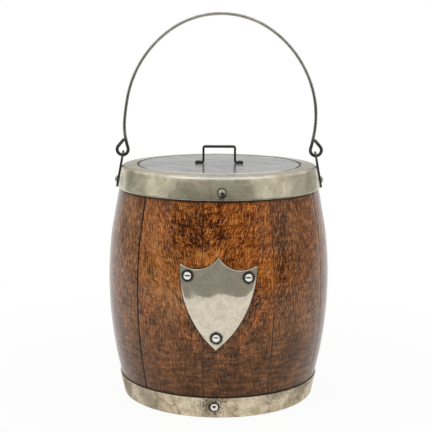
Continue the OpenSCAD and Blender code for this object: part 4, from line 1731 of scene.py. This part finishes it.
@dataclass
class Lid(SubAssembly):
    """Crowned plate with a locating ring below and a strip handle riveted on."""

    body: ClassVar[Body] = Body.LID
    plate_t: float = 1.4
    plate_round: float = 0.3
    rows: int = 16
    ring_t: float = 1.0
    ring_round: float = 0.25
    handle_w: float = 25.5
    strip_t: float = 1.6
    strip_bend_r: float = 0.3
    strip_round: float = 0.28
    ripple: Ripple = Ripple(height=0.05, length=38.0, seed=11.0, direction=Direction.UPWARDS)

    def __post_init__(self) -> None:
        """Take the places of the lid's pieces from the frame."""
        low, high = node_box("lid_plate")
        self.plate_z, self.plate_r = low.z, high.x
        self.crown = high.z - low.z - self.plate_t
        low, high = node_box("lid_ring")
        self.ring_z, self.ring_r = low.z, high.x
        low, high = node_box("lid_handle")
        self.handle_z, self.handle_h = low.z, high.z - low.z
        self.strip_w = high.y - low.y
        self.foot_l = high.x - self.handle_w / 2

    def plate(self) -> BMesh:
        """Turn the plate.

        Returns:
            The crowned plate.
        """
        rim = self.ring_r - self.ring_t
        shares = [k / self.rows for k in range(self.rows + 1)]
        under = [(rim * share, self.plate_z + self.crown * (1 - share**2)) for share in shares]
        under += [((rim + self.plate_r) / 2, self.plate_z), (self.plate_r, self.plate_z)]
        over = [(r, z + self.plate_t) for r, z in reversed(under)]
        bm = turned(under + over, closed=False, round_w=self.plate_round)
        self.ripple.press(bm)
        return bm

    def ring(self) -> BMesh:
        """Turn the ring.

        Returns:
            The locating ring under the plate.
        """
        low, high, inner, outer = self.ring_z, self.plate_z, self.ring_r - self.ring_t, self.ring_r
        corners = [(inner, low), (outer, low), (outer, high), (inner, high)]
        return turned(corners, closed=True, round_w=self.ring_round)

    def handle(self) -> BMesh:
        """Bend the right half of the strip from the middle of the bar to the end of a foot, then mirror it.

        Returns:
            The mesh of the handle.
        """
        middle_r = self.strip_bend_r + self.strip_t / 2
        leg_x = self.handle_w / 2 - self.strip_t / 2
        bar_z = self.handle_z + self.handle_h - self.strip_t / 2
        foot_z = self.handle_z + self.strip_t / 2
        upper = Vector((leg_x - middle_r, 0, bar_z - middle_r))
        lower = Vector((leg_x + middle_r, 0, foot_z + middle_r))
        bm = bmesh.new()
        size = Matrix.Diagonal((self.strip_t, self.strip_w, 1, 1))
        start = Matrix.Translation((0, 0, bar_z)) @ rotation(90, "Y") @ size
        bmesh.ops.create_grid(bm, x_segments=1, y_segments=1, size=0.5, matrix=start)
        bmesh.ops.delete(bm, geom=bm.faces[:], context="FACES_ONLY")
        ring = drawn_on(bm, bm.edges[:], Vector((upper.x, 0, 0)))
        ring = bent_on(bm, ring, upper, math.pi / 2, BEND_STEPS)
        ring = drawn_on(bm, ring, Vector((0, 0, lower.z - upper.z)))
        ring = bent_on(bm, ring, lower, -math.pi / 2, BEND_STEPS)
        ring = drawn_on(bm, ring, Vector((self.handle_w / 2 + self.foot_l - lower.x, 0, 0)))
        mirror_half(bm, ring)
        soften(bm, self.strip_round, angle=60.0)
        return bm

    def rivet_places(self) -> list[Matrix]:
        """Where the two rivets go."""
        x = self.handle_w / 2 + (self.foot_l + self.strip_bend_r) / 2
        return [Matrix.Translation((side * x, 0, self.handle_z + self.strip_t)) for side in (-1, 1)]

    def build(self) -> None:
        """Model the lid and dress it."""
        top_z = self.plate_z + self.plate_t
        # The rim mark paints shade on the plate's edge in the gap, faint at the front.
        finish = WornPlate(
            "lid_plate_silver", colour=(0.91, 0.905, 0.875), thin=(0.60, 0.595, 0.57), thin_share=0.85,
            stain=(0.30, 0.285, 0.25), stain_share=0.3, stain_size=9.0, roughness=(0.12, 0.22),
            rub_size=(22.0, 1.1, 22.0), rub_turn=(0.0, 0.0, 0.3), rub_share=0.38,
            wear_size=(24.0, 8.0, 24.0), wear_swirl=0.25, relief=0.05, metallic=0.75,
            rim=GapShade(self.plate_r - 0.25, self.plate_r + 1.0, top_z - 0.1, front_share=0.2),
        )
        dark = BlackLacquer("black_lacquer")
        self.write("lid_plate_sheet", self.plate(), ["lid_plate"], Slot.LID_SHEET, finish)
        self.write("lid_ring_sheet", self.ring(), ["lid_ring"], Slot.LID_SHEET, finish)
        self.write("lid_handle_strip", self.handle(), ["lid_handle"], Slot.DARK_STRIP, dark)
        self.fasten("handle_rivet_heads", RIVET, self.rivet_places(), "handle_rivets", dark, Slot.DARK_STRIP)


@dataclass
class Shield(SubAssembly):
    """Heater-shaped plate that follows the barrel, with a bevelled edge and three dome pins."""

    tip_z: float = 53.8
    azimuth: float = -0.6
    turn: float = 1.5
    width: float = 54.0
    height: float = 67.0
    belly_h: float = 59.0
    corner_drop: float = 5.7
    hollow_r: float = 19.0
    thickness: float = 1.0
    bevel_w: float = 0.35
    bevel_depth: float = 0.15
    pin_side: float = 5.5
    pin_drop: float = 13.9
    pin_rise: float = 9.0
    columns: int = 48
    rows: int = 56
    ripple: Ripple = Ripple(height=0.3, length=13.0, seed=182.5)

    def side_r(self) -> float:
        """Radius of the two long side arcs."""
        return (self.belly_h**2 + (self.width / 2) ** 2) / self.width

    def half_w(self, h: float) -> float:
        """Half width at a height above the tip, on the long side arcs."""
        side_r = self.side_r()
        return self.width / 2 - side_r + math.sqrt(side_r**2 - (h - self.belly_h) ** 2)

    def hollow_centre(self) -> Vector:
        """Find the right one of the two hollows in the upper edge.

        Returns:
            Its centre, above the tip.
        """
        chord = Vector((self.half_w(self.height - self.corner_drop), -self.corner_drop))
        away = Vector((-chord.y, chord.x)).normalized()
        middle = Vector((0.0, self.height)) + chord / 2
        return middle + away * math.sqrt(self.hollow_r**2 - (chord.length / 2) ** 2)

    def top_h(self, x: float) -> float:
        """Height of the hollow upper edge above the tip, at a distance from the middle."""
        centre = self.hollow_centre()
        return centre.y - math.sqrt(self.hollow_r**2 - (abs(x) - centre.x) ** 2)

    def distance(self, graph: Graph) -> Socket:
        """Distance outside the plate's outline, drawn for the wood that the plate lies on.

        Args:
            graph: Tree to draw in.

        Returns:
            The distance in millimetres; large where the plate is far away.
        """
        half_h = self.height / 2
        turns = (0, math.radians(self.turn), math.radians(self.azimuth))
        own = graph.own_frame(Location=(0, 0, self.tip_z + half_h), Rotation=turns)
        across, depth, up = graph.axes(own)
        flat = graph.vector(graph.math("ABSOLUTE", across), up)
        hollow = self.hollow_centre()
        hollow_h = hollow.y - half_h
        circles = (
            ((self.width / 2 - self.side_r(), self.belly_h - half_h, 0), self.side_r(), 1.0),
            ((hollow.x, hollow_h, 0), self.hollow_r, -1.0),
        )
        edge = graph.most(*(
            graph.times(graph.minus(graph.measure("DISTANCE", flat, centre), radius), sign)
            for centre, radius, sign in circles
        ))
        past_top = graph.span(up, hollow_h - 2, hollow_h + 4, 0.0, FAR)
        behind = graph.span(depth, -40, 0, 0.0, FAR)
        return graph.plus(edge, graph.plus(past_top, behind))

    def turned_spot(self, x: float, h: float) -> Vector:
        """Place across and height of a point of the plate, after its turn in its own plane."""
        turn = Matrix.Rotation(math.radians(-self.turn), 2)
        return turn @ Vector((x, h - self.height / 2)) + Vector((0.0, self.tip_z + self.height / 2))

    @staticmethod
    def laid(x: float, z: float, lift: float) -> Vector:
        """A point of the front that lies some way off the staves."""
        return Vector((x, -math.sqrt(FORM.radius(z, lift) ** 2 - x**2), z))

    def skin(self, lift: float) -> BMesh:
        """Outline of the shield, filled with a grid and laid some way off the staves.

        Args:
            lift: Distance off the staves.

        Returns:
            The open skin.
        """
        bm = bmesh.new()
        bmesh.ops.create_grid(bm, x_segments=self.columns, y_segments=self.rows, size=1.0)
        corner_h = self.height - self.corner_drop
        corner_x = self.half_w(corner_h)
        for v in bm.verts:
            across, up = v.co.x, (v.co.y + 1) / 2
            h = corner_h * up + up**3 * (self.top_h(across * corner_x) - corner_h)
            v.co = self.laid(*self.turned_spot(across * self.half_w(corner_h * up), h), lift)
        bmesh.ops.remove_doubles(bm, verts=bm.verts, dist=MERGE_DISTANCE)
        return bm

    def plate(self) -> BMesh:
        """Build the plate.

        Returns:
            Its bevelled front, back and edge.
        """
        lift = SEAT_FIT + self.thickness
        front = self.skin(lift)
        self.ripple.press(front)
        even = {"use_boundary": True, "use_even_offset": True}
        bmesh.ops.inset_region(front, faces=front.faces[:], thickness=self.bevel_w, **even)
        for v in front.verts:
            if v.is_boundary:
                v.co = self.laid(v.co.x, v.co.z, lift - self.bevel_depth)
        whole = joined([front, self.skin(SEAT_FIT)])
        bmesh.ops.bridge_loops(whole, edges=[e for e in whole.edges if e.is_boundary])
        tidy(whole)
        return moved(whole, rotation(self.azimuth, "Z"))

    def pin_places(self) -> list[Matrix]:
        """Work out where the three pins go.

        Returns:
            Their places.
        """
        side_x = self.width / 2 - self.pin_side
        top_h = self.height - self.pin_drop
        lift = SEAT_FIT + self.thickness
        places = []
        for x, h in ((-side_x, top_h), (side_x, top_h), (0.0, self.pin_rise)):
            across, z = self.turned_spot(x, h)
            radius = FORM.radius(z, lift)
            azimuth = self.azimuth + math.degrees(math.asin(across / radius))
            places.append(on_wall(azimuth, radius + SEAT_FIT, z, FORM.tilt(z, lift)))
        return places

    def build(self) -> None:
        """Model the shield and its pins and dress them."""
        places = self.pin_places()
        finish = WornPlate(
            "shield_plate", colour=(0.76, 0.695, 0.545), thin=(0.60, 0.545, 0.41), stain=(0.20, 0.18, 0.14),
            stain_share=0.45, stain_size=5.0, pit_share=0.6, roughness=(0.03, 0.07),
            rub_size=(9.0, 9.0, 0.8), rub_turn=(0.0, 0.5, 0.0), rub_share=0.12, wear_size=(5.0, 5.0, 5.0),
            relief=0.015, halos=dirt_and_reflection_round(places, MIDDLE, inner=4.0, outer=5.6), metallic=0.58,
        )
        self.write("shield_sheet", self.plate(), ["shield"], Slot.PLATED_SHEET, finish)
        self.fasten("shield_dome_pins", PIN, places, "shield_pins", PIN_FINISH)


# Studio


@dataclass
class Studio:
    """Plain pale floor, white surroundings, soft lights and the camera."""

    camera_place: Place = (0.0, -874.06, 283.89)
    lens: float = 96.43
    pitch: float = 9.593
    yaw: float = 0.145
    roll: float = 0.285
    floor_half: float = 6000.0
    room_azimuth: float = -6.0
    room_half: float = 46.5
    room_blur: float = 0.02
    walls: tuple[tuple[float, Colour], ...] = (
        (0.46, (0.80, 0.80, 0.80)), (0.54, SIDE_GREY), (0.80, (0.38, 0.38, 0.38)), (0.90, (0.42, 0.42, 0.42)),
    )
    ceiling: Colour = (0.96, 0.96, 0.96)
    lights: tuple[tuple[str, Place, float, float], ...] = (
        ("key_light", (-1100.0, -900.0, 1300.0), 1700.0, 9.0),
        ("fill_light", (1200.0, -800.0, 900.0), 1700.0, 6.0),
        ("top_light", (0.0, 200.0, 1600.0), 1800.0, 8.0),
    )

    def camera(self) -> None:
        """Set the camera that sees the bucket as the photograph does."""
        data = bpy.data.cameras.new("camera")
        data.lens = self.lens
        data.sensor_width = 36.0
        data.clip_end = 50.0
        camera = linked("camera", data)
        turn = rotation(self.yaw, "Z") @ rotation(90 - self.pitch, "X") @ rotation(self.roll, "Z")
        camera.matrix_world = Matrix.Translation(Vector(self.camera_place) * MM) @ turn
        bpy.context.scene.camera = camera

    def floor(self) -> None:
        """Lay the floor."""
        bm = bmesh.new()
        bmesh.ops.create_grid(bm, x_segments=1, y_segments=1, size=self.floor_half * MM)
        mesh = written("floor", bm)
        mesh.materials.append(PaleFloor("pale_floor").material())
        linked("floor", mesh)

    def world(self) -> None:
        """Set white surroundings, with a dim room in front for mirrors."""
        world = bpy.data.worlds.new("studio")
        world.use_nodes = True
        bpy.context.scene.world = world
        graph = Graph(world.node_tree)
        rays = graph.add("NodeLightPath").outputs
        direction = graph.add("NodeTexCoord").outputs["Generated"]
        _, back, up = graph.axes(direction)
        walls = graph.ramp(graph.math("MULTIPLY_ADD", back, 0.5, 0.5), self.walls)
        backdrop = graph.times(graph.span(back, 0.72, 0.78), graph.span(up, 0.03, 0.08, 1.0, 0.0))
        facing = graph.measure("DOT_PRODUCT", direction, heading(self.room_azimuth))
        edge = math.cos(math.radians(self.room_half))
        ahead = graph.span(facing, edge - self.room_blur, edge + self.room_blur)
        room = graph.times(ahead, graph.span(up, 0.21, 0.36, 1.0, 0.0))
        coats = ((backdrop, WHITE), (graph.span(up, 0.16, 0.5), self.ceiling), (room, ROOM_GREY))
        ambient, reflected, plain = (
            graph.add("NodeBackground", {"Color": colour, "Strength": strength}).outputs[0]
            for colour, strength in ((WHITE, 0.5), (graph.coated(walls, coats), 1.0), (WHITE, 1.0))
        )
        shiny = graph.most(rays["Is Glossy Ray"], rays["Is Transmission Ray"])
        mixed = graph.add("NodeMixShader", {0: shiny, 1: ambient, 2: reflected}).outputs[0]
        mixed = graph.add("NodeMixShader", {0: rays["Is Camera Ray"], 1: mixed, 2: plain}).outputs[0]
        graph.add("NodeOutputWorld", {"Surface": mixed})

    @staticmethod
    def light(name: str, place: Place, size: float, power: float) -> None:
        """Hang one soft light that looks at the middle of the barrel.

        Args:
            name: Name of the light.
            place: Where it hangs.
            size: Side of its square.
            power: Its power in watts.
        """
        data = bpy.data.lights.new(name, "AREA")
        data.size = size * MM
        data.energy = power
        lamp = linked(name, data)
        lamp.visible_glossy = False
        aim = Vector((0, 0, FORM.bilge_z)) - Vector(place)
        turn = aim.to_track_quat("-Z", "Y").to_matrix().to_4x4()
        lamp.matrix_world = Matrix.Translation(Vector(place) * MM) @ turn

    def build(self) -> None:
        """Set up the whole studio."""
        bpy.context.scene.view_settings.view_transform = "Standard"
        self.camera()
        self.floor()
        self.world()
        for light in self.lights:
            self.light(*light)


def hinge(frame: dict[str, Any], name: str) -> Vector:
    """Place of a joint of the construction, in millimetres."""
    joint = next(j for j in frame["joints"] if j["name"] == name)
    return Vector(joint["pos_m"]) / MM


def main() -> None:
    """Build the studio and every sub-assembly."""
    logging.basicConfig(level=logging.INFO, format="%(message)s")
    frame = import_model()
    pivot = hinge(frame, "bail_swing")
    ears = Ears(pivot_z=pivot.z)
    Studio().build()
    bail = Bail(ears.pivot_x(), pivot.z)
    for group in (Staves(), Vessel(), BaseHoop(), Collar(), ears, bail, Lid(), Shield()):
        group.build()


if __name__ == "__main__":
    main()
